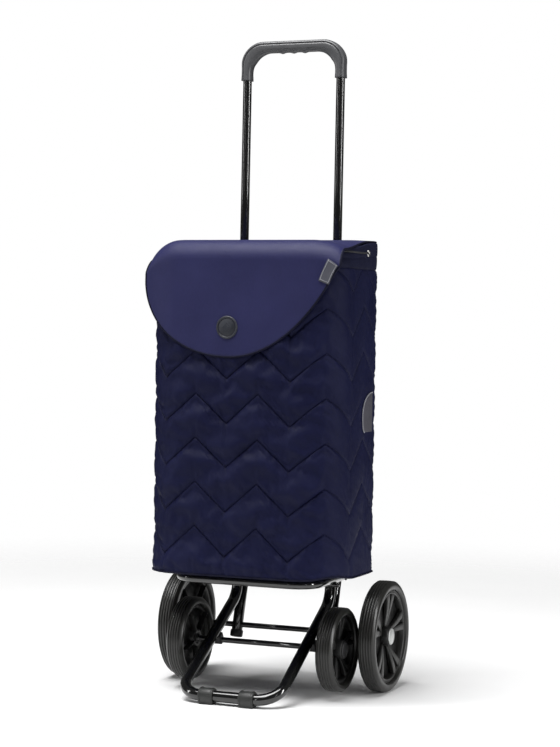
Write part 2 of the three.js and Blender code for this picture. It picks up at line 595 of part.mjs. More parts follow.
function makeBag() {
  const outside = roundedRectangle(BAG_HALF_WIDTH, BAG_FRONT_Y, BAG_BACK_Y, BAG_FRONT_CORNER, BAG_BACK_CORNER);
  const inside = roundedRectangle(BAG_HALF_WIDTH - BAG_WALL, BAG_FRONT_Y + BAG_WALL, BAG_BACK_Y - BAG_WALL,
    BAG_FRONT_CORNER - BAG_WALL, BAG_BACK_CORNER - BAG_WALL);
  const shell = upright(outside, BAG_BOTTOM_Z, BAG_TOP_Z)
    .subtract(upright(inside, BAG_BOTTOM_Z + BAG_WALL, BAG_TOP_Z + 10));
  addPiece('bag_shell', shell, NAVY_FABRIC);

  for (const [name, side] of SIDES) {
    const face = side * (BAG_HALF_WIDTH + GAP);
    const eyelet = bar(vec(face, EYELET_Y, CORD_Z), vec(face + side * 1.2, EYELET_Y, CORD_Z), 6, 2.6, 16);
    addPiece(`eyelet_${name}`, eyelet, NICKEL);
    const patch = new THREE.Shape();
    patch.moveTo(PATCH_BACK_Y, PATCH_BOTTOM_Z);
    patch.lineTo(PATCH_BACK_Y, PATCH_TOP_Z);
    patch.bezierCurveTo(PATCH_BACK_Y - 28, PATCH_TOP_Z - 1, PATCH_FRONT_Y, PATCH_TOP_Z - 18, PATCH_FRONT_Y,
      PATCH_BOTTOM_Z + 28);
    patch.bezierCurveTo(PATCH_FRONT_Y, PATCH_BOTTOM_Z + 12, PATCH_FRONT_Y + 4, PATCH_BOTTOM_Z, PATCH_FRONT_Y + 11,
      PATCH_BOTTOM_Z);
    patch.closePath();
    const outer = face + side * 1.2;
    addPiece(`side_patch_${name}`, plateX(patch, Math.min(face, outer), Math.max(face, outer)), GREY_FABRIC);
    // Webbing loop behind the bag, round the handle tube.
    const loopZ = 762;
    const tubeY = uprightY(loopZ);
    const x = side * UPRIGHT_X;
    const room = HANDLE_TUBE_RADIUS + 1.3;
    const web = 1.7;
    const loop = box(x - room - web, x + room + web, BAG_BACK_Y + GAP, tubeY + room + web, loopZ - 14, loopZ + 14)
      .subtract(box(x - room, x + room, BAG_BACK_Y + GAP + web, tubeY + room, loopZ - 20, loopZ + 20));
    addPiece(`bag_loop_${name}`, loop, BLACK_CORD);
  }

  // Drawstring on the outside of the rim, from one eyelet round the front to the other.
  const offset = BAG_HALF_WIDTH + 1.2 + 2 * GAP + CORD_RADIUS;
  const front = BAG_FRONT_Y - GAP - CORD_RADIUS;
  const corners = [vec(-offset, EYELET_Y, CORD_Z), vec(-offset, front, CORD_Z), vec(offset, front, CORD_Z),
    vec(offset, EYELET_Y, CORD_Z)];
  const path = new BentPath(corners, BAG_FRONT_CORNER + 2, 6);
  addPiece('drawstring', sweep(circleShape(CORD_RADIUS, 8), path), BLACK_CORD);
}

// ---------------------------------------------------------------- flap
function makeFlap() {
  const back = BAG_BACK_Y;
  const outerZ = FLAP_INNER_Z + FLAP_THICKNESS;
  const outerY = FLAP_INNER_Y - FLAP_THICKNESS;
  const lowest = 560;
  const side = new THREE.Shape();
  side.moveTo(back, FLAP_INNER_Z);
  side.lineTo(back, outerZ);
  side.lineTo(outerY + FLAP_FRONT_BEND, outerZ);
  side.absarc(outerY + FLAP_FRONT_BEND, outerZ - FLAP_FRONT_BEND, FLAP_FRONT_BEND, Math.PI / 2, Math.PI, false);
  side.lineTo(outerY, lowest);
  side.lineTo(FLAP_INNER_Y, lowest);
  side.lineTo(FLAP_INNER_Y, outerZ - FLAP_FRONT_BEND);
  side.absarc(outerY + FLAP_FRONT_BEND, outerZ - FLAP_FRONT_BEND, FLAP_FRONT_BEND - FLAP_THICKNESS, Math.PI,
    Math.PI / 2, true);
  side.closePath();
  const sheet = plateX(side, -FLAP_HALF_WIDTH, FLAP_HALF_WIDTH);

  // The flap's outline seen from the front: straight down at the top, one long curve below.
  const outline = new THREE.Shape();
  outline.moveTo(-FLAP_HALF_WIDTH, outerZ + 5);
  outline.lineTo(-FLAP_HALF_WIDTH, FLAP_LEFT_Z);
  outline.bezierCurveTo(-FLAP_HALF_WIDTH, FLAP_LEFT_Z - 75, FLAP_TIP_X - 97, FLAP_TIP_Z, FLAP_TIP_X, FLAP_TIP_Z);
  outline.bezierCurveTo(FLAP_TIP_X + 93, FLAP_TIP_Z, 150, FLAP_RIGHT_Z - 85, FLAP_HALF_WIDTH, FLAP_RIGHT_Z);
  outline.lineTo(FLAP_HALF_WIDTH, outerZ + 5);
  outline.closePath();
  const cutter = new THREE.ExtrudeGeometry(outline, { depth: 400, bevelEnabled: false, curveSegments: 14 });
  cutter.rotateX(Math.PI / 2).translate(0, 250, 0);
  addPiece('flap', sheet.intersect(solidOf(cutter)), FLAP_FABRIC);

  const badge = bar(vec(0, 0, 0), vec(0, -2.5, 0), BADGE_RADIUS, 0, 24)
    .subtract(bar(vec(0, -1.6, 0), vec(0, -5, 0), BADGE_RADIUS - 3, 0, 24));
  addPiece('flap_badge', badge.translate([BADGE_X, outerY - GAP, BADGE_Z]), BLACK_PLASTIC);

  const label = new THREE.BoxGeometry(LABEL_WIDTH, LABEL_THICKNESS, LABEL_HEIGHT);
  label.rotateY(LABEL_TURN).translate(LABEL_X, outerY - GAP - LABEL_THICKNESS / 2, LABEL_Z);
  addPiece('flap_label', solidOf(label), GREY_FABRIC);
}

makeBow();
makeUprights();
makeStruts();
makeSidePlates();
makeAxles();
makeFeet();
makeShelf();
makeWheels();
makeHandle();
makeBag();
makeFlap();

export default trolley;
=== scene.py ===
"""Looks of the shopping trolley: four wheels, black tubular frame, quilted bag with a flap.
Metres, +Z up, the front of the trolley towards -Y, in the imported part's own frame."""
import json
import math

import bpy
from mathutils import Matrix, Vector, noise

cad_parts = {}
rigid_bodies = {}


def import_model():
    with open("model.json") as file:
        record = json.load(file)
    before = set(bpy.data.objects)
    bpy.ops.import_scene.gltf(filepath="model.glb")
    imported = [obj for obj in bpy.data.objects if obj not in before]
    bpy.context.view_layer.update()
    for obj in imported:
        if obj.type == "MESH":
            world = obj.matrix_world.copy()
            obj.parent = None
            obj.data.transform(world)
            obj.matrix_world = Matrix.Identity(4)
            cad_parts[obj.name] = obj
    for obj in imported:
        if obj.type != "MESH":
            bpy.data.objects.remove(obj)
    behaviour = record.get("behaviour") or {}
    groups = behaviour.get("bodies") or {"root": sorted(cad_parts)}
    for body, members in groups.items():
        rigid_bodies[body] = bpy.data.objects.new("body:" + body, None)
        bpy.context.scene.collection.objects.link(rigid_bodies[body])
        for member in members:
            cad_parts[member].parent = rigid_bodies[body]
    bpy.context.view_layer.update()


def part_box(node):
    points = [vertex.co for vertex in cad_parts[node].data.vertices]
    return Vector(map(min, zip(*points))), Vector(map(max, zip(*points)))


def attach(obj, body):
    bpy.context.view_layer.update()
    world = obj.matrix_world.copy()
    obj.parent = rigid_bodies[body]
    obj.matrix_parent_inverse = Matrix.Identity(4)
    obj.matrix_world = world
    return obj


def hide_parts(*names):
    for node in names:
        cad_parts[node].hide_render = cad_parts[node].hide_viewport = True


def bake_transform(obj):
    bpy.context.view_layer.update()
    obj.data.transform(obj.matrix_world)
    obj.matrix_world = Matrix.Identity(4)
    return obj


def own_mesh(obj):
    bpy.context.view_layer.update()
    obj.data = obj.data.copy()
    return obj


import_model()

MM = 0.001
SIDES = (("left", -1), ("right", 1))
X, Y, Z = Vector((1, 0, 0)), Vector((0, 1, 0)), Vector((0, 0, 1))


# ------------------------------------------------------------------ places, from the frame
def middle(node):
    low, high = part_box(node)
    return (Vector(low) + Vector(high)) / 2


def low(node):
    return Vector(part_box(node)[0])


def high(node):
    return Vector(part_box(node)[1])


FRAME_TUBE = (high("upright_right").x - low("upright_right").x) / 2
HANDLE_TUBE = 8 * MM
SHELF_TUBE = (high("load_shelf").z - low("load_shelf").z) / 2
AXLE = 5 * MM
UPRIGHT_X = middle("upright_right").x
UPRIGHT_LOW, UPRIGHT_TOP = low("upright_right").z, high("upright_right").z
UPRIGHT_Y = middle("upright_right").y
UPRIGHT_LEAN = 0.01
REAR_AXLE = middle("rear_right_tyre")
FRONT_AXLE = middle("front_right_tyre")
BOW_BAR = Vector((0, low("front_bow").y + FRAME_TUBE, low("front_bow").z + FRAME_TUBE))
BOW_BEND_Z = 158 * MM
STRUT_LEAN = 0.29
PLATE_Z = middle("load_shelf").z
SHELF_PIVOT_Y = middle("shelf_pivot_pin_right").y

BAG_LOW, BAG_HIGH = low("bag_shell"), high("bag_shell")
BAG_HALF = BAG_HIGH.x
BAG_FRONT, BAG_BACK = BAG_LOW.y, BAG_HIGH.y
BAG_FRONT_CORNER, BAG_BACK_CORNER = 60 * MM, 18 * MM
COLLAR_Z = 759 * MM


def upright_y(z):
    """Middle line of the uprights and the handle, which lean back a little."""
    return UPRIGHT_Y + UPRIGHT_LEAN * (z - (UPRIGHT_LOW + UPRIGHT_TOP) / 2)


def strut_y(z):
    return REAR_AXLE.y + STRUT_LEAN * (z - REAR_AXLE.z)


# ------------------------------------------------------------------ materials
class Material:
    """A procedural material: a Principled shader fed by a few texture nodes."""

    def __init__(self, name, metallic=0.0, **sockets):
        self.material = bpy.data.materials.new(name)
        self.material.use_nodes = True
        self.nodes = self.material.node_tree.nodes
        self.shader = self.nodes["Principled BSDF"]
        self.shader.inputs["Metallic"].default_value = metallic
        for socket, value in sockets.items():
            self.shader.inputs[socket.replace("_", " ")].default_value = value
        self.coordinates = self.nodes.new("ShaderNodeTexCoord").outputs["Object"]
        self.bump = None

    def link(self, a, b):
        self.material.node_tree.links.new(a, b)

    def noise(self, scale, detail=3.0, stretch=(1, 1, 1), source=None):
        mapping = self.nodes.new("ShaderNodeMapping")
        mapping.inputs["Scale"].default_value = stretch
        self.link(source or self.coordinates, mapping.inputs["Vector"])
        texture = self.nodes.new("ShaderNodeTexNoise")
        texture.inputs["Scale"].default_value = scale
        texture.inputs["Detail"].default_value = detail
        self.link(mapping.outputs["Vector"], texture.inputs["Vector"])
        return texture.outputs["Fac"]

    def ramp(self, value, stops):
        node = self.nodes.new("ShaderNodeValToRGB")
        node.color_ramp.elements[0].position = stops[0][0]
        node.color_ramp.elements[0].color = (*stops[0][1], 1)
        node.color_ramp.elements[1].position = stops[-1][0]
        node.color_ramp.elements[1].color = (*stops[-1][1], 1)
        for position, colour in stops[1:-1]:
            node.color_ramp.elements.new(position).color = (*colour, 1)
        self.link(value, node.inputs["Fac"])
        return node.outputs["Color"]

    def mix(self, amount, a, b):
        node = self.nodes.new("ShaderNodeMix")
        node.data_type = "RGBA"
        self.link(amount, node.inputs[0])
        self.link(a, node.inputs[6])
        self.link(b, node.inputs[7])
        return node.outputs[2]

    def colour(self, socket):
        self.link(socket, self.shader.inputs["Base Color"])

    def roughness(self, value, rough):
        node = self.nodes.new("ShaderNodeMapRange")
        node.inputs["From Min"].default_value = 0.3
        node.inputs["From Max"].default_value = 0.7
        node.inputs["To Min"].default_value = rough[0]
        node.inputs["To Max"].default_value = rough[1]
        self.link(value, node.inputs["Value"])
        self.link(node.outputs["Result"], self.shader.inputs["Roughness"])

    def raise_by(self, height, strength, distance):
        """Adds a bump on top of the ones before it."""
        node = self.nodes.new("ShaderNodeBump")
        node.inputs["Strength"].default_value = strength
        node.inputs["Distance"].default_value = distance
        self.link(height, node.inputs["Height"])
        if self.bump:
            self.link(self.bump, node.inputs["Normal"])
        self.bump = node.outputs["Normal"]
        self.link(self.bump, self.shader.inputs["Normal"])

    def edges(self, base, worn, amount=(0.5, 0.62)):
        """Lighter, rubbed colour along the sharp outer edges."""
        geometry = self.nodes.new("ShaderNodeNewGeometry")
        mask = self.ramp(geometry.outputs["Pointiness"], [(amount[0], (0, 0, 0)), (amount[1], (1, 1, 1))])
        tone = self.ramp(mask, [(0.0, worn), (1.0, worn)])
        return self.mix(mask, base, tone)


def painted_steel():
    m = Material("gloss_black_steel", Coat_Weight=0.6, Coat_Roughness=0.05, Specular_IOR_Level=0.5)
    spots = m.noise(25)
    m.colour(m.ramp(spots, [(0.3, (0.003, 0.003, 0.003)), (0.7, (0.005, 0.005, 0.005))]))
    m.roughness(m.noise(12, 2), (0.12, 0.16))
    return m.material


def bare_metal(name, tone, rough):
    m = Material(name, metallic=1.0)
    streaks = m.noise(300, 4, stretch=(1, 1, 6))
    m.colour(m.ramp(streaks, [(0.3, tuple(0.8 * c for c in tone)), (0.7, tone)]))
    m.roughness(m.noise(500, 3), rough)
    m.raise_by(m.noise(1500, 2), 0.08, 0.0001)
    return m.material


def moulded(name, dark, light, rough, grain=1200, worn=None, bumpy=0.25, **sockets):
    """Plastic or rubber with a fine moulded grain."""
    m = Material(name, **sockets)
    tone = m.ramp(m.noise(35, 5), [(0.3, dark), (0.72, light)])
    if worn:
        tone = m.edges(tone, worn)
    m.colour(tone)
    m.roughness(m.noise(90, 4), rough)
    m.raise_by(m.noise(grain, 2), bumpy, 0.0002)
    return m.material


def woven(name, dark, light, axes, pitch=1.1 * MM, rough=(0.5, 0.75), weave=0.5, **sockets):
    """Cloth with crossing threads. axes turns object coordinates into the two thread directions."""
    m = Material(name, **sockets)
    split = m.nodes.new("ShaderNodeSeparateXYZ")
    m.link(m.coordinates, split.inputs[0])
    threads = []
    for names in axes:
        total = split.outputs[names[0]]
        for extra in names[1:]:
            add = m.nodes.new("ShaderNodeMath")
            m.link(total, add.inputs[0])
            m.link(split.outputs[extra], add.inputs[1])
            total = add.outputs[0]
        turn = m.nodes.new("ShaderNodeMath")
        turn.operation = "MULTIPLY"
        turn.inputs[1].default_value = 2 * math.pi / pitch
        m.link(total, turn.inputs[0])
        wave = m.nodes.new("ShaderNodeMath")
        wave.operation = "SINE"
        m.link(turn.outputs[0], wave.inputs[0])
        threads.append(wave.outputs[0])
    crossing = m.nodes.new("ShaderNodeMath")
    crossing.operation = "MULTIPLY"
    m.link(threads[0], crossing.inputs[0])
    m.link(threads[1], crossing.inputs[1])
    cloudy = m.noise(14, 5)
    yarn = m.noise(700, 2, stretch=(1, 1, 0.25))
    tone = m.ramp(cloudy, [(0.28, dark), (0.74, light)])
    deep = m.ramp(cloudy, [(0.28, tuple(0.72 * c for c in dark)), (0.74, tuple(0.8 * c for c in light))])
    m.colour(m.mix(yarn, deep, tone))
    m.roughness(m.noise(40, 4), rough)
    m.raise_by(crossing.outputs[0], weave, 0.00012)
    m.raise_by(yarn, 0.12, 0.0002)
    return m.material


WRAP = (("X", "Y"), ("Z",))
OVER = (("X",), ("Y", "Z"))
STEEL = painted_steel()
ZINC = bare_metal("zinc_steel", (0.42, 0.43, 0.45), (0.3, 0.5))
NICKEL = bare_metal("nickel", (0.72, 0.71, 0.68), (0.14, 0.3))
CAP = moulded("hub_cap_silver", (0.42, 0.43, 0.42), (0.55, 0.56, 0.55), (0.28, 0.38), grain=900,
              Metallic=0.45)
PLASTIC = moulded("black_plastic", (0.008, 0.008, 0.009), (0.014, 0.014, 0.015), (0.4, 0.55))
RIM = moulded("rim_plastic", (0.008, 0.008, 0.0075), (0.013, 0.013, 0.012), (0.3, 0.42),
              worn=(0.022, 0.022, 0.021))
# Near black: the front wheels' own dark plastic, and painted shade on the hubs, ribs and web that sit in the
# wheels' recesses and behind their openings.
DARK_RIM_AND_SHADE = moulded("dark_rim_plastic_and_painted_shade", (0.004, 0.004, 0.004), (0.007, 0.007, 0.007), (0.4, 0.6))
BUSH = moulded("bush_plastic", (0.05, 0.05, 0.052), (0.08, 0.08, 0.082), (0.4, 0.6))
GRIP = moulded("grip_plastic", (0.058, 0.059, 0.062), (0.068, 0.069, 0.073), (0.32, 0.42), grain=900,
               bumpy=0.04)
TYRE = moulded("tyre_rubber", (0.009, 0.009, 0.008), (0.015, 0.015, 0.0135), (0.28, 0.36), grain=500,
               bumpy=0.06)
FOOT = moulded("foot_rubber", (0.013, 0.014, 0.013), (0.020, 0.021, 0.020), (0.4, 0.55), bumpy=0.1)
QUILT = woven("quilted_navy", (0.0058, 0.0068, 0.0310), (0.0092, 0.0106, 0.0410), WRAP, rough=(0.42, 0.56),
              Specular_IOR_Level=0.09)
COLLAR_CLOTH = woven("collar_navy", (0.0058, 0.0066, 0.0230), (0.0085, 0.0096, 0.0310), WRAP,
                     Specular_IOR_Level=0.12)
FLAP_CLOTH = woven("flap_indigo", (0.0200, 0.0208, 0.0760), (0.0248, 0.0258, 0.0900), OVER,
                   rough=(0.40, 0.50),
                   weave=0.35, Specular_IOR_Level=0.17)
# Very dark navy for the flap's binding, the hem piping and the badge's stitches: partly the cloth's own
# colour, partly painted shade along the flap's edge and the bag's bottom edge.
BINDING_AND_EDGE_SHADE = woven("binding_navy_and_painted_edge_shade", (0.0045, 0.0048, 0.016), (0.0065, 0.0070, 0.022), OVER, pitch=0.9 * MM,
                Specular_IOR_Level=0.1)
LINING = woven("lining_black", (0.005, 0.005, 0.009), (0.009, 0.009, 0.014), WRAP, Specular_IOR_Level=0.1)
PATCH = woven("grey_patch", (0.060, 0.058, 0.072), (0.085, 0.082, 0.098), WRAP, rough=(0.4, 0.55),
              Specular_IOR_Level=0.2)
PIPING = woven("light_piping", (0.22, 0.22, 0.25), (0.32, 0.32, 0.35), WRAP, pitch=0.8 * MM)
LABEL = woven("label_weave", (0.050, 0.052, 0.070), (0.075, 0.077, 0.100), OVER, pitch=0.8 * MM)
LABEL_LINE = woven("label_thread", (0.22, 0.23, 0.26), (0.32, 0.32, 0.34), OVER, pitch=0.8 * MM)
BADGE = moulded("badge_leather", (0.009, 0.011, 0.018), (0.015, 0.018, 0.028), (0.4, 0.6), grain=500)
CORD = woven("black_cord", (0.006, 0.006, 0.008), (0.014, 0.014, 0.018), WRAP, pitch=1.6 * MM, weave=0.9)


# ------------------------------------------------------------------ mesh helpers
def add_mesh(name, vertices, faces, material, smooth=True):
    mesh = bpy.data.meshes.new(name)
    mesh.from_pydata([tuple(v) for v in vertices], [], faces)
    mesh.update()
    mesh.materials.append(material)
    if smooth:
        mesh.shade_smooth()
    piece = bpy.data.objects.new(name, mesh)
    bpy.context.scene.collection.objects.link(piece)
    return piece


def place(piece, body, nodes=(), fold=None):
    """Rides a piece on its body, in place of its CAD nodes. fold, when given, only gives the piece its own
    copy of its mesh; its height is not used.
    """
    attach(piece, body)
    if nodes:
        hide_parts(*nodes)
    if fold is not None:
        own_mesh(piece)
    return piece


def bevel(piece, width, segments=2, angle=30):
    modifier = piece.modifiers.new("edges", "BEVEL")
    modifier.width = width
    modifier.segments = segments
    modifier.limit_method = "ANGLE"
    modifier.angle_limit = math.radians(angle)
    modifier.harden_normals = False
    return piece


def rings_mesh(name, rings, material, closed=True, caps=True):
    """Skins a list of rings that have the same number of points."""
    count = len(rings[0])
    vertices = [p for ring in rings for p in ring]
    faces = []
    steps = count if closed else count - 1
    for i in range(len(rings) - 1):
        for j in range(steps):
            k = (j + 1) % count
            faces.append((i * count + j, i * count + k, (i + 1) * count + k, (i + 1) * count + j))
    if caps:
        for ring, start, flip in ((rings[0], 0, True), (rings[-1], (len(rings) - 1) * count, False)):
            centre = len(vertices)
            vertices.append(sum((Vector(p) for p in ring), Vector()) / count)
            for j in range(count):
                k = (j + 1) % count
                faces.append((start + k, start + j, centre) if flip else (start + j, start + k, centre))
    return add_mesh(name, vertices, faces, material)


def rounded_path(corners, radii, steps=14):
    """Points along straight lines with a round bend at each inner corner."""
    corners = [Vector(c) for c in corners]
    points = [corners[0]]
    for i in range(1, len(corners) - 1):
        into = (corners[i] - corners[i - 1]).normalized()
        out = (corners[i + 1] - corners[i]).normalized()
        radius = radii[i - 1]
        turn = into.angle(out)
        start = corners[i] - into * radius * math.tan(turn / 2)
        inward = (out - into * out.dot(into)).normalized()
        centre = start + inward * radius
        for k in range(steps + 1):
            angle = turn * k / steps
            points.append(centre - inward * radius * math.cos(angle) + into * radius * math.sin(angle))
    points.append(corners[-1])
    return points


def circle(radius, sides):
    """Points (a, b) of a circle round the origin."""
    return [(radius * math.cos(a), radius * math.sin(a))
            for a in (2 * math.pi * k / sides for k in range(sides))]


def path_frames(points, closed=False):
    """Point, tangent and a normal that doesn't twist, for each point of a path."""
    count = len(points)
    frames = []
    normal = None
    for i, point in enumerate(points):
        before = points[i - 1] if i or closed else point
        after = points[(i + 1) % count] if i < count - 1 or closed else point
        tangent = (after - before).normalized()
        if normal is None:
            normal = tangent.orthogonal().normalized()
        normal = (normal - tangent * normal.dot(tangent)).normalized()
        frames.append((point, tangent, normal))
    return frames


def tube(name, points, radius, material, sides=32, ends=0.6 * MM):
    """A round tube along a path, with softened ends."""
    frames = path_frames(points)
    first, last = frames[0], frames[-1]
    stations = [(first[0], first[1], first[2], radius - ends)]
    stations.append((first[0] + first[1] * ends, first[1], first[2], radius))
    stations += [(*f, radius) for f in frames[1:-1]]
    stations.append((last[0] - last[1] * ends, last[1], last[2], radius))
    stations.append((last[0], last[1], last[2], radius - ends))
    rings = []
    for point, tangent, normal, size in stations:
        side = tangent.cross(normal)
        rings.append([point + (normal * math.cos(a) + side * math.sin(a)) * size
                      for a in (2 * math.pi * k / sides for k in range(sides))])
    return rings_mesh(name, rings, material)


def ribbon(name, points, across, section, material, closed=False, caps=True):
    """Sweeps a closed section (out, across) along a path in the plane square to 'across'."""
    rings = []
    for point, tangent, _ in path_frames(points, closed):
        side = (across - tangent * across.dot(tangent)).normalized()
        out = side.cross(tangent).normalized()
        rings.append([point + out * a + side * b for a, b in section])
    if closed:
        rings.append(rings[0])
    return rings_mesh(name, rings, material, caps=caps and not closed)


def turned(name, profile, origin, direction, material, sides=64, closed=False):
    """A lathe: profile points are (radius, along). A closed profile makes a ring."""
    direction = Vector(direction).normalized()
    across = direction.orthogonal().normalized()
    third = direction.cross(across)
    vertices, faces, rows = [], [], []
    for radius, along in profile:
        base = Vector(origin) + direction * along
        if radius < 1e-6:
            rows.append([len(vertices)] * sides)
            vertices.append(base)
            continue
        rows.append(list(range(len(vertices), len(vertices) + sides)))
        for k in range(sides):
            angle = 2 * math.pi * k / sides
            vertices.append(base + (across * math.cos(angle) + third * math.sin(angle)) * radius)
    pairs = list(zip(rows, rows[1:])) + ([(rows[-1], rows[0])] if closed else [])
    for a, b in pairs:
        for k in range(sides):
            m = (k + 1) % sides
            face = [a[k], a[m], b[m], b[k]]
            faces.append([v for i, v in enumerate(face) if v not in face[:i]])
    return add_mesh(name, vertices, faces, material)


def prism(name, outline, x0, x1, material, soften=0.8 * MM):
    """An outline in the YZ plane, from x0 to x1, with softened edges."""
    count = len(outline)
    vertices = [(x, y, z) for x in (x0, x1) for y, z in outline]
    faces = [list(range(count))[::-1], list(range(count, 2 * count))]
    faces += [(k, (k + 1) % count, count + (k + 1) % count, count + k) for k in range(count)]
    piece = add_mesh(name, vertices, faces, material, smooth=False)
    piece.data.shade_smooth()
    return bevel(piece, soften)


def join(name, pieces):
    """Joins mesh pieces into one, with their modifiers applied."""
    graph = bpy.context.evaluated_depsgraph_get()
    for piece in pieces:
        if piece.modifiers:
            done = bpy.data.meshes.new_from_object(piece.evaluated_get(graph))
            piece.modifiers.clear()
            piece.data = done
    for other in bpy.context.view_layer.objects.selected:
        other.select_set(False)
    for piece in pieces:
        piece.select_set(True)
    bpy.context.view_layer.objects.active = pieces[0]
    bpy.ops.object.join()
    pieces[0].name = name
    pieces[0].select_set(False)
    return pieces[0]


# ------------------------------------------------------------------ camera, floor and light
def make_camera():
    azimuth, elevation, roll = math.radians(22.184), math.radians(1.413), math.radians(0.946)
    target, distance = Vector((0, REAR_AXLE.y, 0.57008)), 3.5942
    back = Vector((math.sin(azimuth) * math.cos(elevation), -math.cos(azimuth) * math.cos(elevation),
                   math.sin(elevation)))
    right = Vector((math.cos(azimuth), math.sin(azimuth), 0))
    up = back.cross(right)
    across = right * math.cos(roll) + up * math.sin(roll)
    upward = up * math.cos(roll) - right * math.sin(roll)
    data = bpy.data.cameras.new("camera")
    data.lens = 94.08
    data.sensor_width = 36
    data.shift_x = -0.0103
    data.clip_start, data.clip_end = 0.1, 60
    camera = bpy.data.objects.new("camera", data)
    camera.matrix_world = Matrix.Translation(target + back * distance) @ Matrix(
        (across, upward, back)).transposed().to_4x4()
    bpy.context.scene.collection.objects.link(camera)
    bpy.context.scene.camera = camera


def area_light(name, place_at, aim, size, power):
    data = bpy.data.lights.new(name, "AREA")
    data.shape = "RECTANGLE"
    data.size, data.size_y = size
    data.energy = power
    light = bpy.data.objects.new(name, data)
    light.location = place_at
    light.rotation_mode = "QUATERNION"
    light.rotation_quaternion = (Vector(aim) - Vector(place_at)).to_track_quat("-Z", "Y")
    bpy.context.scene.collection.objects.link(light)


ROOM_GLOSS = 0.10                  # strength of the room in reflections
ROOM_LIGHT = 0.09                  # and as soft light
FLOOR_REACH = 3.4
FLOOR_FADE = (0.7, 2.6)            # distances over which the floor turns clear
LIGHTS = (("left_strip", (-3.2, -1.9, 1.5), (0.3, 2.4), 30),
          ("right_strip", (3.5, -0.2, 1.4), (0.2, 2.4), 70),
          ("left_streak", (-0.8, -3.5, 1.3), (0.08, 2.2), 5),
          ("right_streak", (3.0, -1.95, 1.3), (0.08, 2.2), 5),
          ("top", (-0.4, -0.8, 3.2), (2.0, 2.0), 150))


def make_floor():
    """A round sheet of white paper that fades into the backdrop."""
    reach, sides = FLOOR_REACH, 96
    rim = [(x, y, 0) for x, y in circle(reach, sides)]
    paper = Material("floor_paper", Specular_IOR_Level=0.0)
    paper.colour(paper.ramp(paper.noise(3), [(0.3, (0.90, 0.90, 0.90)), (0.7, (0.93, 0.93, 0.93))]))
    paper.shader.inputs["Roughness"].default_value = 0.9
    distance = paper.nodes.new("ShaderNodeVectorMath")
    distance.operation = "LENGTH"
    paper.link(paper.coordinates, distance.inputs[0])
    fade = paper.nodes.new("ShaderNodeMapRange")
    fade.interpolation_type = "SMOOTHSTEP"
    fade.inputs["From Min"].default_value, fade.inputs["From Max"].default_value = FLOOR_FADE
    paper.link(distance.outputs["Value"], fade.inputs["Value"])
    clear = paper.nodes.new("ShaderNodeBsdfTransparent")
    blend = paper.nodes.new("ShaderNodeMixShader")
    paper.link(fade.outputs["Result"], blend.inputs[0])
    paper.link(paper.shader.outputs[0], blend.inputs[1])
    paper.link(clear.outputs[0], blend.inputs[2])
    paper.link(blend.outputs[0], paper.nodes["Material Output"].inputs["Surface"])
    add_mesh("floor", rim, [tuple(range(sides))], paper.material, smooth=False)


def make_studio():
    make_floor()
    world = bpy.data.worlds.new("studio")
    bpy.context.scene.world = world
    world.use_nodes = True
    nodes, links = world.node_tree.nodes, world.node_tree.links
    # A white backdrop, soft light all round, and a dark room for the gloss to reflect.
    path = nodes.new("ShaderNodeLightPath")
    strength = ROOM_GLOSS
    for output, share in (("Is Camera Ray", 1.0 - ROOM_GLOSS), ("Is Diffuse Ray", ROOM_LIGHT - ROOM_GLOSS)):
        add = nodes.new("ShaderNodeMath")
        add.operation = "MULTIPLY_ADD"
        add.inputs[1].default_value = share
        links.new(path.outputs[output], add.inputs[0])
        if isinstance(strength, float):
            add.inputs[2].default_value = strength
        else:
            links.new(strength, add.inputs[2])
        strength = add.outputs[0]
    nodes["Background"].inputs["Color"].default_value = (1, 1, 1, 1)
    links.new(strength, nodes["Background"].inputs["Strength"])
    middle_of = (0, 0, 0.6)
    for name, place_at, size, power in LIGHTS:
        area_light(name, place_at, middle_of, size, power)
    bpy.context.scene.view_settings.view_transform = "Standard"


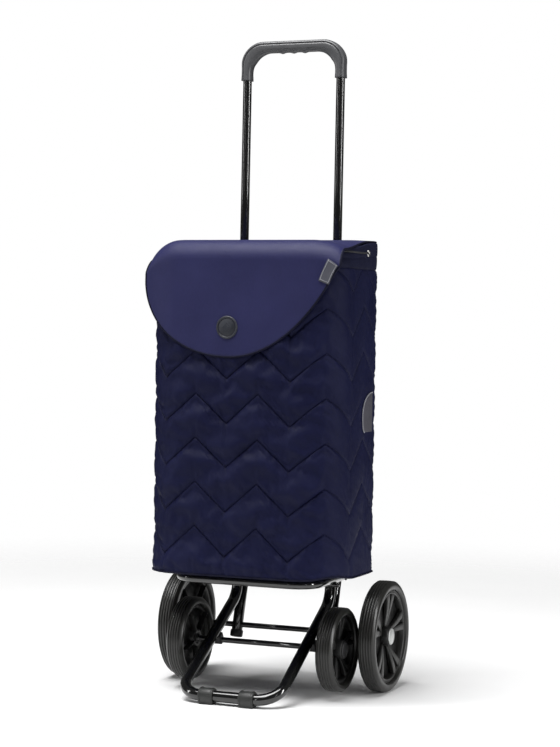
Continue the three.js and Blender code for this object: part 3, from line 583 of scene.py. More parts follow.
# ------------------------------------------------------------------ frame
def make_frame():
    bend = Vector((UPRIGHT_X, upright_y(BOW_BEND_Z), BOW_BEND_Z))
    leg = [Vector((UPRIGHT_X, upright_y(UPRIGHT_LOW), UPRIGHT_LOW)), bend,
           Vector((UPRIGHT_X, BOW_BAR.y, BOW_BAR.z))]
    mirrored = [Vector((-p.x, p.y, p.z)) for p in leg]
    bow = rounded_path(mirrored + leg[::-1], (45 * MM, 40 * MM, 40 * MM, 45 * MM), 20)
    place(tube("bow_tube", bow, FRAME_TUBE, STEEL, 40), "frame", ["front_bow"])
    for name, side in SIDES:
        at = lambda z: Vector((side * UPRIGHT_X, upright_y(z), z))
        upright = tube(f"upright_tube_{name}", [at(UPRIGHT_LOW), at(UPRIGHT_TOP)], FRAME_TUBE, STEEL, 40)
        place(upright, "frame", [f"upright_{name}"])
        joiner = tube(f"joiner_tube_{name}",
                      [at(low(f"tube_joiner_{name}").z), at(high(f"tube_joiner_{name}").z)],
                      8 * MM, ZINC)
        place(joiner, "frame", [f"tube_joiner_{name}"])
        base, top = low(f"upright_collar_{name}").z, high(f"upright_collar_{name}").z
        tall = top - base
        collar = turned(f"collar_{name}", [
            (10.2 * MM, 0), (12.4 * MM, 0), (13 * MM, 1 * MM), (13 * MM, tall - 14 * MM),
            (12.2 * MM, tall - 12.5 * MM),
            (12.2 * MM, tall - 2 * MM), (11 * MM, tall), (8.2 * MM, tall), (8.2 * MM, tall - 11 * MM)],
            at(base), at(top) - at(base), PLASTIC)
        place(collar, "frame", [f"upright_collar_{name}"])

        strut_at = lambda z: Vector((side * UPRIGHT_X, strut_y(z), z))
        foot_z, strut_top = low(f"rear_strut_{name}").z + 3 * MM, high(f"rear_strut_{name}").z - 3 * MM
        strut = tube(f"strut_tube_{name}", [strut_at(foot_z), strut_at(strut_top)], FRAME_TUBE, STEEL, 40)
        place(strut, "frame", [f"rear_strut_{name}"])
        cap = turned(f"strut_cap_{name}", [
            (0, -3.4 * MM), (9 * MM, -3.4 * MM), (11.2 * MM, -2.6 * MM), (11.8 * MM, -1 * MM),
            (11.8 * MM, 8.4 * MM),
            (11.2 * MM, 9 * MM), (10 * MM, 9.2 * MM)],
            strut_at(foot_z), strut_at(1) - strut_at(0), PLASTIC, 48)
        place(cap, "frame", [f"strut_end_cap_{name}"])
        make_side_plate(name, side)


def rounded_box(y0, y1, z0, z1, radius, steps=8):
    """Outline of a rounded rectangle in the YZ plane."""
    outline = []
    for cy, cz, start in ((y1 - radius, z0 + radius, -90), (y1 - radius, z1 - radius, 0),
                          (y0 + radius, z1 - radius, 90), (y0 + radius, z0 + radius, 180)):
        for k in range(steps + 1):
            angle = math.radians(start + 90 * k / steps)
            outline.append((cy + radius * math.cos(angle), cz + radius * math.sin(angle)))
    return outline


def make_side_plate(name, side):
    node = f"side_plate_{name}"
    plate_low, plate_high = low(node), high(node)
    inner = side * (UPRIGHT_X + FRAME_TUBE + 0.3 * MM)
    outer = inner + side * 4 * MM
    bottom = plate_high.z - 17 * MM
    plate = prism(f"plate_{name}", rounded_box(plate_low.y, plate_high.y, bottom, plate_high.z, 6 * MM),
                  min(inner, outer), max(inner, outer), STEEL)
    stop = tube(f"stop_{name}", [Vector((outer - side * MM, plate_low.y + 7 * MM, PLATE_Z - 12.3 * MM)),
                                 Vector((side * 138 * MM, plate_low.y + 7 * MM, PLATE_Z - 12.3 * MM))],
                4 * MM, STEEL, 24)
    place(join(f"plate_{name}", [plate, stop]), "frame", [node])
    for what in ("bow", "strut"):
        bolt_node = f"{what}_bolt_{name}"
        spot, near, far = middle(bolt_node), low(bolt_node).x, high(bolt_node).x
        profile = [(0, 0), (5.5 * MM, 0), (5.5 * MM, 2.6 * MM), (3 * MM, 3 * MM),
                   (3 * MM, far - near - 3 * MM),
                   (5.6 * MM, far - near - 2.8 * MM), (5 * MM, far - near - 0.8 * MM), (3.5 * MM, far - near),
                   (0, far - near)]
        bolt = turned(f"{what}_screw_{name}", profile, (near if side > 0 else far, spot.y, spot.z), X * side,
                      ZINC, 32)
        place(bolt, "frame", [bolt_node])
    pin_node = f"shelf_pivot_pin_{name}"
    near, far = low(pin_node).x, high(pin_node).x
    length = far - near
    pin = turned(f"pivot_pin_{name}", [
        (0, 0), (6 * MM, 0), (6.5 * MM, 0.6 * MM), (6.5 * MM, 3 * MM), (4 * MM, 3 * MM),
        (4 * MM, length - 2.5 * MM),
        (6.5 * MM, length - 2.5 * MM), (6.2 * MM, length - 0.8 * MM), (4.5 * MM, length), (0, length)],
        (near if side > 0 else far, SHELF_PIVOT_Y, PLATE_Z), X * side, ZINC, 40)
    place(pin, "frame", [pin_node])
    spacer_node = f"shelf_spacer_{name}"
    near, far = low(spacer_node).x, high(spacer_node).x
    spacer = turned(f"spacer_{name}",
                    [(4.2 * MM, 0), (6.6 * MM, 0), (7 * MM, 0.6 * MM), (7 * MM, far - near - 0.6 * MM),
                                       (6.6 * MM, far - near), (4.2 * MM, far - near)],
                    (near, SHELF_PIVOT_Y, PLATE_Z), X, PLASTIC, 40, closed=True)
    place(spacer, "frame", [spacer_node])


def make_axles():
    for where, spot in (("rear", REAR_AXLE), ("front", FRONT_AXLE)):
        node = f"{where}_axle"
        end = high(node).x
        collar = end - (26.4 * MM if where == "rear" else 24 * MM)
        profile = [(0, -end), (4 * MM, -end), (AXLE, -end + MM)]
        for edge in (-collar, collar):
            inner, outer = sorted((edge, edge - math.copysign(4 * MM, edge)))
            profile += [(AXLE, inner - 0.4 * MM), (7 * MM, inner), (7 * MM, outer), (AXLE, outer + 0.4 * MM)]
        profile += [(AXLE, end - MM), (4 * MM, end), (0, end)]
        axle = turned(f"{where}_axle_rod", profile, (0, spot.y, spot.z), X, STEEL, 40)
        place(axle, "frame", [node])
    slope = math.atan2(BOW_BEND_Z - BOW_BAR.z, upright_y(BOW_BEND_Z) - BOW_BAR.y)
    along = Vector((0, math.cos(slope), math.sin(slope)))
    down = Vector((0, math.sin(slope), -math.cos(slope)))
    spot = Vector((0, FRONT_AXLE.y, FRONT_AXLE.z))
    for name, _ in SIDES:
        corners = ((-8, -12), (-8, 2), (-5, 7), (5, 7), (8, 2), (8, -12))
        outline = [(spot + along * a * MM + down * d * MM) for a, d in corners]
        node = f"axle_saddle_{name}"
        saddle = prism(f"saddle_{name}", [(p.y, p.z) for p in outline], low(node).x, high(node).x, PLASTIC,
                       1.5 * MM)
        place(saddle, "frame", [node])


def make_feet():
    """Rubber feet clipped round the bow's bar, flat underneath, with a grip rib on each edge."""
    for name, _ in SIDES:
        node = f"foot_clamp_{name}"
        left, right = low(node).x, high(node).x
        clip = (high(node).z - BOW_BAR.z)
        outline = [(BOW_BAR.y - 9 * MM, 0), (BOW_BAR.y + 9 * MM, 0)]
        for k in range(25):
            angle = math.radians(-38 + 256 * k / 24)
            outline.append((BOW_BAR.y + clip * math.cos(angle), BOW_BAR.z + clip * math.sin(angle)))
        body = prism(f"foot_{name}", outline, left, right, FOOT, 1.2 * MM)
        ribs = []
        for x in (left + 3 * MM, right - 3 * MM):
            ring = turned(f"rib_{name}_{x:.3f}", [
                (clip - 0.5 * MM, -1.2 * MM), (clip + 0.7 * MM, -0.8 * MM), (clip + 0.7 * MM, 0.8 * MM),
                (clip - 0.5 * MM, 1.2 * MM)], (x, BOW_BAR.y, BOW_BAR.z), X, FOOT, 64, closed=True)
            cut = [v for v in ring.data.vertices if v.co.z < 1.5 * MM]
            for v in cut:
                v.co.z = 1.5 * MM
            ribs.append(ring)
        place(join(f"foot_{name}", [body, *ribs]), "frame", [node])


def make_shelf():
    x = high("load_shelf").x - SHELF_TUBE
    back, front = high("load_shelf").y, low("load_shelf").y + SHELF_TUBE
    path = rounded_path([(-x, back, PLATE_Z), (-x, front, PLATE_Z), (x, front, PLATE_Z), (x, back, PLATE_Z)],
                        (42 * MM, 42 * MM), 20)
    place(tube("shelf_tube", path, SHELF_TUBE, STEEL, 40), "shelf", ["load_shelf"])
    rod_low, rod_high = low("shelf_cross_rod"), high("shelf_cross_rod")
    rod = tube("shelf_rod",
               [Vector((x, middle("shelf_cross_rod").y, PLATE_Z)) for x in (rod_low.x, rod_high.x)],
               (rod_high.z - rod_low.z) / 2, STEEL, 28, 0.3 * MM)
    place(rod, "shelf", ["shelf_cross_rod"])
    board_low, board_high = low("base_board"), high("base_board")
    outline = []
    for cx, cy, start in ((board_high.x, board_low.y, -90), (board_high.x, board_high.y, 0),
                          (board_low.x, board_high.y, 90), (board_low.x, board_low.y, 180)):
        inward = Vector((-math.copysign(14 * MM, cx), -math.copysign(14 * MM, cy - middle("base_board").y)))
        for k in range(7):
            angle = math.radians(start + 15 * k)
            outline.append((cx + inward.x + 14 * MM * math.cos(angle),
                            cy + inward.y + 14 * MM * math.sin(angle)))
    count = len(outline)
    vertices = [(a, b, z) for z in (board_low.z, board_high.z) for a, b in outline]
    faces = [list(range(count))[::-1], list(range(count, 2 * count))]
    faces += [(k, (k + 1) % count, count + (k + 1) % count, count + k) for k in range(count)]
    board = bevel(add_mesh("board", vertices, faces, BUSH), 0.7 * MM)
    place(board, "shelf", ["base_board"])


# ------------------------------------------------------------------ wheels
def tread_profile(radius, half, seat):
    """Half-round tyre section with fine grooves round the tread, as (radius, along)."""
    crown = 0.8 * MM
    rounded = [(seat - 0.5 * MM, -half + 4.2 * MM), (seat + 1 * MM, -half + 1.4 * MM),
               (seat + 3 * MM, -half + 0.3 * MM),
               (seat + 0.55 * (radius - seat), -half), (radius - 5 * MM, -half + 0.7 * MM),
               (radius - 2.6 * MM, -half + 2.2 * MM), (radius - 1.2 * MM, -half + 4.2 * MM)]
    grooves = 5
    first = -half + 6.2 * MM
    pitch = -2 * first / (grooves - 1)
    tread = []
    for i in range(grooves):
        x = first + pitch * i
        top = radius - crown * (x / half) ** 2
        tread += [(top, x - 1.3 * MM), (top - 0.35 * MM, x - 0.8 * MM), (top - 1.5 * MM, x - 0.45 * MM),
                  (top - 1.5 * MM, x + 0.45 * MM), (top - 0.35 * MM, x + 0.8 * MM), (top, x + 1.3 * MM)]
    mirrored = [(r, -x) for r, x in reversed(rounded)]
    return rounded + tread + mirrored


def blade(name, centre, side, spots, face, material):
    """A spoke blade: spots are (radius, from angle, to angle, depth under the face, thickness)."""
    rings = []
    for radius, start, stop, depth, thick in spots:
        ring = []
        for angle, x in ((start, 0), (stop, 0), (stop, -thick), (start, -thick)):
            ring.append(centre + Vector((side * (face - depth + x), radius * math.sin(angle),
                                         radius * math.cos(angle))))
        rings.append(ring)
    return bevel(rings_mesh(name, rings, material), 0.9 * MM, 2)


def make_wheel(prefix, side, tyre_radius, seat, rim_material, face_in, cap_material):
    body = f"{prefix}_wheel"
    node = f"{prefix}_tyre"
    centre = middle(node)
    half = (high(node).x - low(node).x) / 2
    tyre = turned(f"{prefix}_tread", tread_profile(tyre_radius, half, seat), centre, X, TYRE, 128,
                  closed=True)
    place(tyre, body, [node])

    face = half - face_in
    lip, barrel = seat - 0.4 * MM, seat - 7.5 * MM
    ring = turned(f"{prefix}_ring", [
        (lip, -face), (lip, face - 1 * MM), (lip - 1.2 * MM, face), (lip - 2.2 * MM, face - 0.2 * MM),
        (lip - 2.6 * MM, face - 1.1 * MM), (lip - 3.2 * MM, face - 0.2 * MM), (barrel + 0.8 * MM, face),
        (barrel, face - 1 * MM), (barrel - 0.8 * MM, 0), (barrel, -face)], centre, X * side, rim_material,
        128,
        closed=True)
    pieces = [ring]
    hub = 17 * MM
    hub_face = high(f"{prefix}_rim").x if side > 0 else -low(f"{prefix}_rim").x
    hub_face -= side * centre.x
    # The hub is in the near-black plastic: painted shade round the cap.
    pieces.append(turned(f"{prefix}_hub", [
        (8 * MM, -half + 2 * MM), (hub - 2 * MM, -half + 2 * MM), (hub - 1 * MM, -half + 3 * MM),
        (hub + 1 * MM, hub_face - 12 * MM), (hub, hub_face - 2 * MM), (hub - 1 * MM, hub_face),
        (8 * MM, hub_face)], centre, X * side, DARK_RIM_AND_SHADE, 64, closed=True))
    size = seat / (84 * MM)
    spokes = 5
    for i in range(spokes):
        turn = 0.04 + 2 * math.pi * i / spokes
        for flank in (-1, 1):
            spots = []
            for step in range(9):
                t = step / 8
                radius = hub - 1 * MM + (barrel + 1.5 * MM - hub) * t
                slot = 0.004 + 0.078 * max(0, (t - 0.4) / 0.6)
                span = 0.19 + 0.06 * t
                spots.append((radius, turn + flank * slot, turn + flank * span,
                              (1 - t) ** 1.5 * 10 * MM * size,
                              (5 + 3 * t) * MM))
            if flank < 0:
                spots = [(r, b, a, d, h) for r, a, b, d, h in spots]
            pieces.append(blade(f"{prefix}_blade_{i}_{flank}", centre, side, spots, face, rim_material))
        # Ribs behind the openings stiffen the hub, and show from the inner side; their near-black colour is
        # painted shade in the openings.
        rib_turn = turn + math.pi / spokes
        rib = [(hub - MM, rib_turn - 0.06, rib_turn + 0.06, 14 * MM, half - 4 * MM),
               (barrel + MM, rib_turn - 0.013, rib_turn + 0.013, 18 * MM, half - 6 * MM)]
        pieces.append(blade(f"{prefix}_rib_{i}", centre, side, rib, face, DARK_RIM_AND_SHADE))
    # A web behind the blades closes the openings; its near-black colour is painted shade, so the openings
    # read dark.
    web_x = half - 17.5 * MM
    pieces.append(turned(
        f"{prefix}_web",
        [(hub - 2 * MM, web_x), (barrel + MM, web_x + 1.5 * MM), (barrel + MM, web_x - MM),
         (hub - 2 * MM, web_x - 3 * MM)], centre, X * side, DARK_RIM_AND_SHADE, 96, closed=True))
    place(join(f"{prefix}_spokes", pieces), body, [f"{prefix}_rim"])

    bush_node = f"{prefix}_bush"
    near, far = low(bush_node).x, high(bush_node).x
    bush = turned(f"{prefix}_sleeve",
                  [(5.2 * MM, 0), (7.7 * MM, 0), (7.7 * MM, far - near), (5.2 * MM, far - near)],
                  (near, centre.y, centre.z), X, BUSH, 48, closed=True)
    place(bush, body, [bush_node])

    cap_node = f"{prefix}_hub_cap"
    cap_x = low(cap_node).x if side > 0 else high(cap_node).x
    cap = turned(f"{prefix}_cap", [
        (0, 0), (14.6 * MM, 0), (15 * MM, 0.5 * MM), (15 * MM, 1.3 * MM), (14 * MM, 2.3 * MM),
        (12.4 * MM, 2.9 * MM),
        (11.8 * MM, 2.6 * MM), (11 * MM, 3 * MM), (6 * MM, 3.6 * MM), (0, 3.8 * MM)],
        (cap_x, centre.y, centre.z), X * side, cap_material, 64)
    place(cap, body, [cap_node])


def make_wheels():
    for name, side in SIDES:
        make_wheel(f"rear_{name}", side, REAR_AXLE.z, 84 * MM, RIM, 4.5 * MM, CAP)
        make_wheel(f"front_{name}", side, 74.5 * MM, 61 * MM, DARK_RIM_AND_SHADE, 6.5 * MM, PLASTIC)


# ------------------------------------------------------------------ handle
def grip_section(wave):
    """Half the grip's section, from the outer middle to the inner middle, as (out, across), mirrored."""
    half = [(10.5, 0), (10.5, 5), (10.0, 8), (8.6, 10.2), (7.0, 11.2), (6.0, 11.3), (5.4, 9.6), (4.4, 9.6),
            (3.8, 11.6), (2.0, 12.0), (-3.0, 12.0), (-5.2, 11.7), (-6.4, 10.8), (-8.4, 9.6), (-9.8, 7.0),
            (-10.5, 3.5)]
    half = [(a - (wave if a < -6 else 0), b) for a, b in half] + [(-10.5 - wave, 0)]
    other = [(a, -b) for a, b in reversed(half[1:-1])]
    return [(a * MM, b * MM) for a, b in half + other]


def inner_fillet(point, out, bar_z):
    """Extra depth, in millimetres, that rounds the grip's inner corners with a wide radius."""
    reach, radius = 10.5 * MM, 37 * MM
    centre = Vector((math.copysign(UPRIGHT_X - reach - radius, point.x), point.y, bar_z - reach - radius))
    if abs(point.x) < abs(centre.x) or point.z < centre.z:
        return 0
    to = centre - point
    along = -to.dot(out)
    inside = radius ** 2 - to.length_squared + along ** 2
    return max(0, along - math.sqrt(max(0, inside)) - reach) / MM


def make_handle():
    tube_low = low("handle_tube").z
    grip_end, bar_z = low("grip").z, high("grip").z - 10.5 * MM
    at = lambda side, z: Vector((side * UPRIGHT_X, upright_y(z), z))
    corner = 34 * MM
    path = rounded_path([at(-1, tube_low), at(-1, bar_z), at(1, bar_z), at(1, tube_low)], (corner, corner),
                        24)
    place(tube("handle_rail", path, HANDLE_TUBE, STEEL, 40), "handle", ["handle_tube"])

    outline = rounded_path([at(-1, grip_end), at(-1, bar_z), at(1, bar_z), at(1, grip_end)], (corner, corner),
                           24)
    # The straight bar gets close stations for the finger waves, and the ends a slight flare.
    bar = [i for i in range(1, len(outline)) if (outline[i] - outline[i - 1]).length > 60 * MM][0]
    steps = 90
    fine = [outline[bar - 1].lerp(outline[bar], k / steps) for k in range(1, steps)]
    ends = [outline[0].lerp(outline[1], k / 16) for k in range(1, 16)]
    other_ends = [outline[-2].lerp(outline[-1], k / 16) for k in range(1, 16)]
    stations = [outline[0], *ends, *outline[1:bar], *fine, *outline[bar:-1], *other_ends, outline[-1]]
    rings = []
    for point, tangent, _ in path_frames(stations):
        out = (Y - tangent * Y.dot(tangent)).normalized().cross(tangent).normalized()
        if (point - Vector((0, point.y, grip_end))).dot(out) < 0:
            out = -out
        wave = 0
        if abs(point.x) < UPRIGHT_X - corner:
            wave = sum(1.9 * math.exp(-((point.x - c * MM) / (4.2 * MM)) ** 2) for c in (-24, -2, 20))
        wave += inner_fillet(point, out, bar_z)
        slim = 1 - 0.13 * smooth(bar_z - corner * 0.6 - point.z, 0, 18 * MM)
        flare = 1 + 0.05 * math.exp(-((point.z - grip_end) / (7 * MM)) ** 2)
        rings.append([point + out * a * slim * flare + Y * b * flare for a, b in grip_section(wave)])
    inset = lambda ring, share: [Vector(p).lerp(sum(map(Vector, ring), Vector()) / len(ring), share)
                                 for p in ring]
    rings = [inset(rings[0], 0.25), *rings, inset(rings[-1], 0.25)]
    grip = rings_mesh("grip_cover", rings, GRIP)
    place(grip, "handle", ["grip"])


# ------------------------------------------------------------------ bag
FLAT_FRONT = BAG_HALF - BAG_FRONT_CORNER
ARC_FRONT = math.pi / 2 * BAG_FRONT_CORNER
FLAT_SIDE = (BAG_BACK - BAG_BACK_CORNER) - (BAG_FRONT + BAG_FRONT_CORNER)
ARC_BACK = math.pi / 2 * BAG_BACK_CORNER
FLAT_BACK = BAG_HALF - BAG_BACK_CORNER
HALF_ROUND = FLAT_FRONT + ARC_FRONT + FLAT_SIDE + ARC_BACK + FLAT_BACK
ZIGZAGS = 18                       # peaks and valleys round the whole bag
HALF_PERIOD = 2 * HALF_ROUND / ZIGZAGS
ZIGZAG_SHIFT = 36 * MM             # place of a peak right of the front's middle
ZIGZAG_RISE = 52 * MM
ROW_PITCH = 77.5 * MM
FIRST_ROW_Z = 279.5 * MM           # middle height of the lowest stitched zigzag
ROWS = 7


def bag_point(s, out=0.0):
    """Point (x, y) and outward direction at distance s round the bag from the middle of its front."""
    s = (s + HALF_ROUND) % (2 * HALF_ROUND) - HALF_ROUND
    side, run = (1, s) if s >= 0 else (-1, -s)
    if run <= FLAT_FRONT:
        point, normal = Vector((run, BAG_FRONT)), Vector((0, -1))
    elif run <= FLAT_FRONT + ARC_FRONT:
        angle = (run - FLAT_FRONT) / BAG_FRONT_CORNER
        normal = Vector((math.sin(angle), -math.cos(angle)))
        point = Vector((FLAT_FRONT, BAG_FRONT + BAG_FRONT_CORNER)) + normal * BAG_FRONT_CORNER
    elif run <= FLAT_FRONT + ARC_FRONT + FLAT_SIDE:
        point = Vector((BAG_HALF, BAG_FRONT + BAG_FRONT_CORNER + run - FLAT_FRONT - ARC_FRONT))
        normal = Vector((1, 0))
    elif run <= HALF_ROUND - FLAT_BACK:
        angle = (run - FLAT_FRONT - ARC_FRONT - FLAT_SIDE) / BAG_BACK_CORNER
        normal = Vector((math.cos(angle), math.sin(angle)))
        point = Vector((FLAT_BACK, BAG_BACK - BAG_BACK_CORNER)) + normal * BAG_BACK_CORNER
    else:
        point, normal = Vector((HALF_ROUND - run, BAG_BACK)), Vector((0, 1))
    point += normal * out
    return Vector((side * point.x, point.y)), Vector((side * normal.x, normal.y))


def smooth(value, start, stop):
    t = min(1, max(0, (value - start) / (stop - start)))
    return t * t * (3 - 2 * t)


def drift(s):
    """The zigzags sit further right round the front corners than on an even spacing."""
    run = abs(s)
    return 14 * MM * smooth(run, 130 * MM, 210 * MM) * (1 - smooth(run, 330 * MM, 480 * MM))


def zigzag(s):
    """-1 at a valley, 1 at a peak."""
    phase = ((s - drift(s) - ZIGZAG_SHIFT) / HALF_PERIOD) % 2
    return 1 - 2 * phase if phase <= 1 else 2 * phase - 3


def ripple(x, y, z, scale):
    return noise.noise(Vector((x, y, z)) / scale)


PATCH_MIDDLE = middle("side_patch_right")


def patch_weight(point, z):
    """1 under a side patch, where the padding is pressed flat, and 0 away from it."""
    aside = max(0, abs(point.y - PATCH_MIDDLE.y) - 22 * MM)
    above = max(0, abs(z - PATCH_MIDDLE.z) - 32 * MM)
    return (1 - smooth(math.hypot(aside, above), 4 * MM, 20 * MM)) if abs(point.x) > BAG_HALF - 3 * MM else 0


def belly(s, z):
    """Slow bulge of the filled bag."""
    x = bag_point(s)[0].x
    front = max(0, math.cos(math.pi / 2 * min(1, abs(s) / (FLAT_FRONT + ARC_FRONT)))) ** 1.2
    height = (z - BAG_LOW.z) / (COLLAR_Z - BAG_LOW.z)
    upper = 1 - smooth(z, 560 * MM, 780 * MM)
    bulge = front * (2 + 6 * upper) * MM
    behind = smooth(abs(s), HALF_ROUND - FLAT_BACK - ARC_BACK - 30 * MM, HALF_ROUND - FLAT_BACK)
    flank = 1 - smooth(abs(abs(s) - (FLAT_FRONT + ARC_FRONT + FLAT_SIDE / 2)), 20 * MM, 110 * MM)
    bulge += flank * 0.5 * MM * math.sin(math.pi * min(1, max(0, height)))
    return bulge * (1 - behind), behind, x


def under_flap(s, z):
    """1 where the flap lies over the bag's front."""
    if abs(s) > FLAT_FRONT + ARC_FRONT:
        return 0
    hem = edge_height(bag_point(s)[0].x, FLAP_EDGE)
    return smooth(z, hem - 6 * MM, hem + 10 * MM)


def quilt_out(s, z, lower, upper):
    """How far the quilted cloth stands out of the bag's nominal surface, between two seams."""
    bulge, behind, x = belly(s, z)
    gap = max(upper - lower, 1e-6)
    u = min(1, max(0, (z - lower) / gap))
    if lower < BAG_LOW.z + 12 * MM:
        u = 0.5 + u / 2            # the padding runs on, full, into the bottom edge
    pillow = (4 * u * (1 - u)) ** 0.42 * min(1, gap / (40 * MM))
    puffy = 7.8 * MM * (1 + 0.25 * ripple(s, 0, z, 90 * MM))
    crease = -4.4 * MM
    # Soft folds: fans of short wrinkles that start at the stitching and cross the padding.
    fold_zone = smooth(x, 10 * MM, 90 * MM) if abs(s) < FLAT_FRONT + ARC_FRONT else 0.5
    tilt = s * 0.45 + z
    folds = (0.55 + 0.75 * fold_zone) * MM * ripple(s * 0.35, 3.1, tilt, 11 * MM) * pillow
    folds += 0.8 * MM * ripple(s, 7.7, z, 34 * MM)
    # Puckers pulled in along the bottom hem and under the collar.
    hem = 1 - smooth(z, BAG_LOW.z, BAG_LOW.z + 34 * MM)
    top = smooth(z, COLLAR_Z - 22 * MM, COLLAR_Z)
    folds += (1.3 * hem + 0.8 * top) * MM * ripple(s, 1.3, z * 0.25, 9 * MM)
    calm = smooth(abs(s), FLAT_FRONT, FLAT_FRONT + ARC_FRONT)
    out = ((crease + puffy * pillow) * (1 - 0.35 * calm) + folds * (1 - 0.5 * calm)
           - 2.4 * MM * under_flap(s, z))
    out = out * (1 - 0.62 * behind) - 1.1 * MM * behind
    flat = patch_weight(bag_point(s)[0], z)
    out = out * (1 - flat) + 0.2 * MM * flat
    return out + bulge * smooth(z, BAG_LOW.z - 30 * MM, BAG_LOW.z + 25 * MM)


def back_rise(y):
    """The collar and the flap rise towards the back."""
    return 6.5 * MM * smooth(y, BAG_BACK - 150 * MM, BAG_BACK - 10 * MM)


def collar_lean(s, height):
    """How far the drawn-in collar leans back under the flap at the front, most at the corners."""
    run = abs(s)
    front = 1 - smooth(run, FLAT_FRONT + ARC_FRONT * 0.8, FLAT_FRONT + ARC_FRONT + 55 * MM)
    corner = math.exp(-((run - FLAT_FRONT - ARC_FRONT * 0.5) / (45 * MM)) ** 2)
    return (12 * front + (14 if s > 0 else 9) * corner) * MM * height ** 1.6


def hem_rise(s):
    """The bottom edge curves up a little round the right front corner."""
    return 8 * MM * math.exp(-((s - FLAT_FRONT - ARC_FRONT * 0.6) / (34 * MM)) ** 2)


def seam_heights(s):
    """Heights of the seams at s, from the bottom hem to the collar seam."""
    heights = [BAG_LOW.z + 1.5 * MM + hem_rise(s)]
    for row in range(ROWS):
        z = FIRST_ROW_Z + ROW_PITCH * row + ZIGZAG_RISE / 2 * zigzag(s)
        z += (1.6 * MM * ripple(s, 3.3 * row, 0, 55 * MM)
              - 4.5 * MM * math.exp(-((s - 150 * MM) / (70 * MM)) ** 2))
        heights.append(min(z, COLLAR_Z - (ROWS - row) * 0.5 * MM))
    return heights + [COLLAR_Z]


def columns():
    """Distances round the bag, with a column on every peak and valley."""
    per_half = 16
    spots = []
    for i in range(ZIGZAGS):
        for k in range(per_half):
            even = ZIGZAG_SHIFT + (i + k / per_half - ZIGZAGS // 2) * HALF_PERIOD
            s = even
            for _ in range(12):
                s = even + drift(s)
            spots.append(s)
    return spots


LINING_ROWS = 15
# Collar: plain cloth, gathered a little, with a channel for the drawstring along its top.
# Each row is its share of the collar's height, and how far it stands out in millimetres.
COLLAR_ROWS = [(0.0, -3.2), (0.03, -1.6), (0.08, -0.2), (0.2, 0.6), (0.34, 0.9), (0.46, 0.8), (0.5, -0.2),
               (0.54, 1.0), (0.64, 1.7), (0.76, 1.8), (0.88, 1.6), (0.95, 1.2), (0.99, 0.2), (1.0, -1.0),
               (0.985, -2.4), (0.94, -3.2)]
SETTLE_FRAMES = 20
SETTLE_LIMIT = 4 * MM              # the farthest that the simulation may move a vertex


def looseness(spots, per_gap, ring_count):
    """How free each vertex of the bag is: 0 on seams, collar, lining, floor and patches, 1 amid a cushion."""
    loose = [0.0] * (ring_count * len(spots) + 2)
    # The lining's and the collar's rings come first, from the top down.
    first = LINING_ROWS + len(COLLAR_ROWS)
    for row in range((ROWS + 1) * per_gap):
        gap, k = divmod((ROWS + 1) * per_gap - 1 - row, per_gap)
        u = (1 - math.cos(math.pi * k / per_gap)) / 2
        for column, s in enumerate(spots):
            seams = seam_heights(s)
            z = seams[gap] + (seams[gap + 1] - seams[gap]) * u
            free = smooth(min(z - seams[gap], seams[gap + 1] - z), 1 * MM, 7 * MM)
            free *= (1 - patch_weight(bag_point(s)[0], z)) * (1 - under_flap(s, z))
            free *= 1 - 0.7 * smooth(abs(s), FLAT_FRONT, FLAT_FRONT + ARC_FRONT)
            loose[(first + row) * len(spots) + column] = free
    return loose


def settle(bag, loose):
    """Lets the padded cloth between the seams puff out and wrinkle in a short cloth simulation.
    loose is how free each vertex is; the shape found is kept as plain vertices."""
    group = bag.vertex_groups.new(name="held")
    for index, free in enumerate(loose):
        group.add([index], 1 - free, "REPLACE")
    before = [v.co.copy() for v in bag.data.vertices]
    cloth = bag.modifiers.new("cloth", "CLOTH")
    settings = cloth.settings
    settings.vertex_group_mass = "held"
    settings.pin_stiffness = 2
    settings.mass = 0.15
    settings.quality = 6
    settings.tension_stiffness = settings.compression_stiffness = 12
    settings.shear_stiffness = 5
    settings.bending_stiffness = 0.05
    settings.shrink_min = -0.045
    settings.use_pressure = True
    settings.uniform_pressure_force = 2.5
    settings.effector_weights.gravity = 0
    cloth.point_cache.frame_start, cloth.point_cache.frame_end = 1, SETTLE_FRAMES
    for moment in range(1, SETTLE_FRAMES + 1):
        bpy.context.scene.frame_set(moment)
    graph = bpy.context.evaluated_depsgraph_get()
    after = [v.co.copy() for v in bag.evaluated_get(graph).data.vertices]
    bag.modifiers.remove(cloth)
    bag.vertex_groups.remove(group)
    bpy.context.scene.frame_set(1)
    for v, start, end, free in zip(bag.data.vertices, before, after, loose):
        move = end - start
        if move.length > SETTLE_LIMIT:
            move *= SETTLE_LIMIT / move.length
        v.co = start + move * min(1, 2 * free)


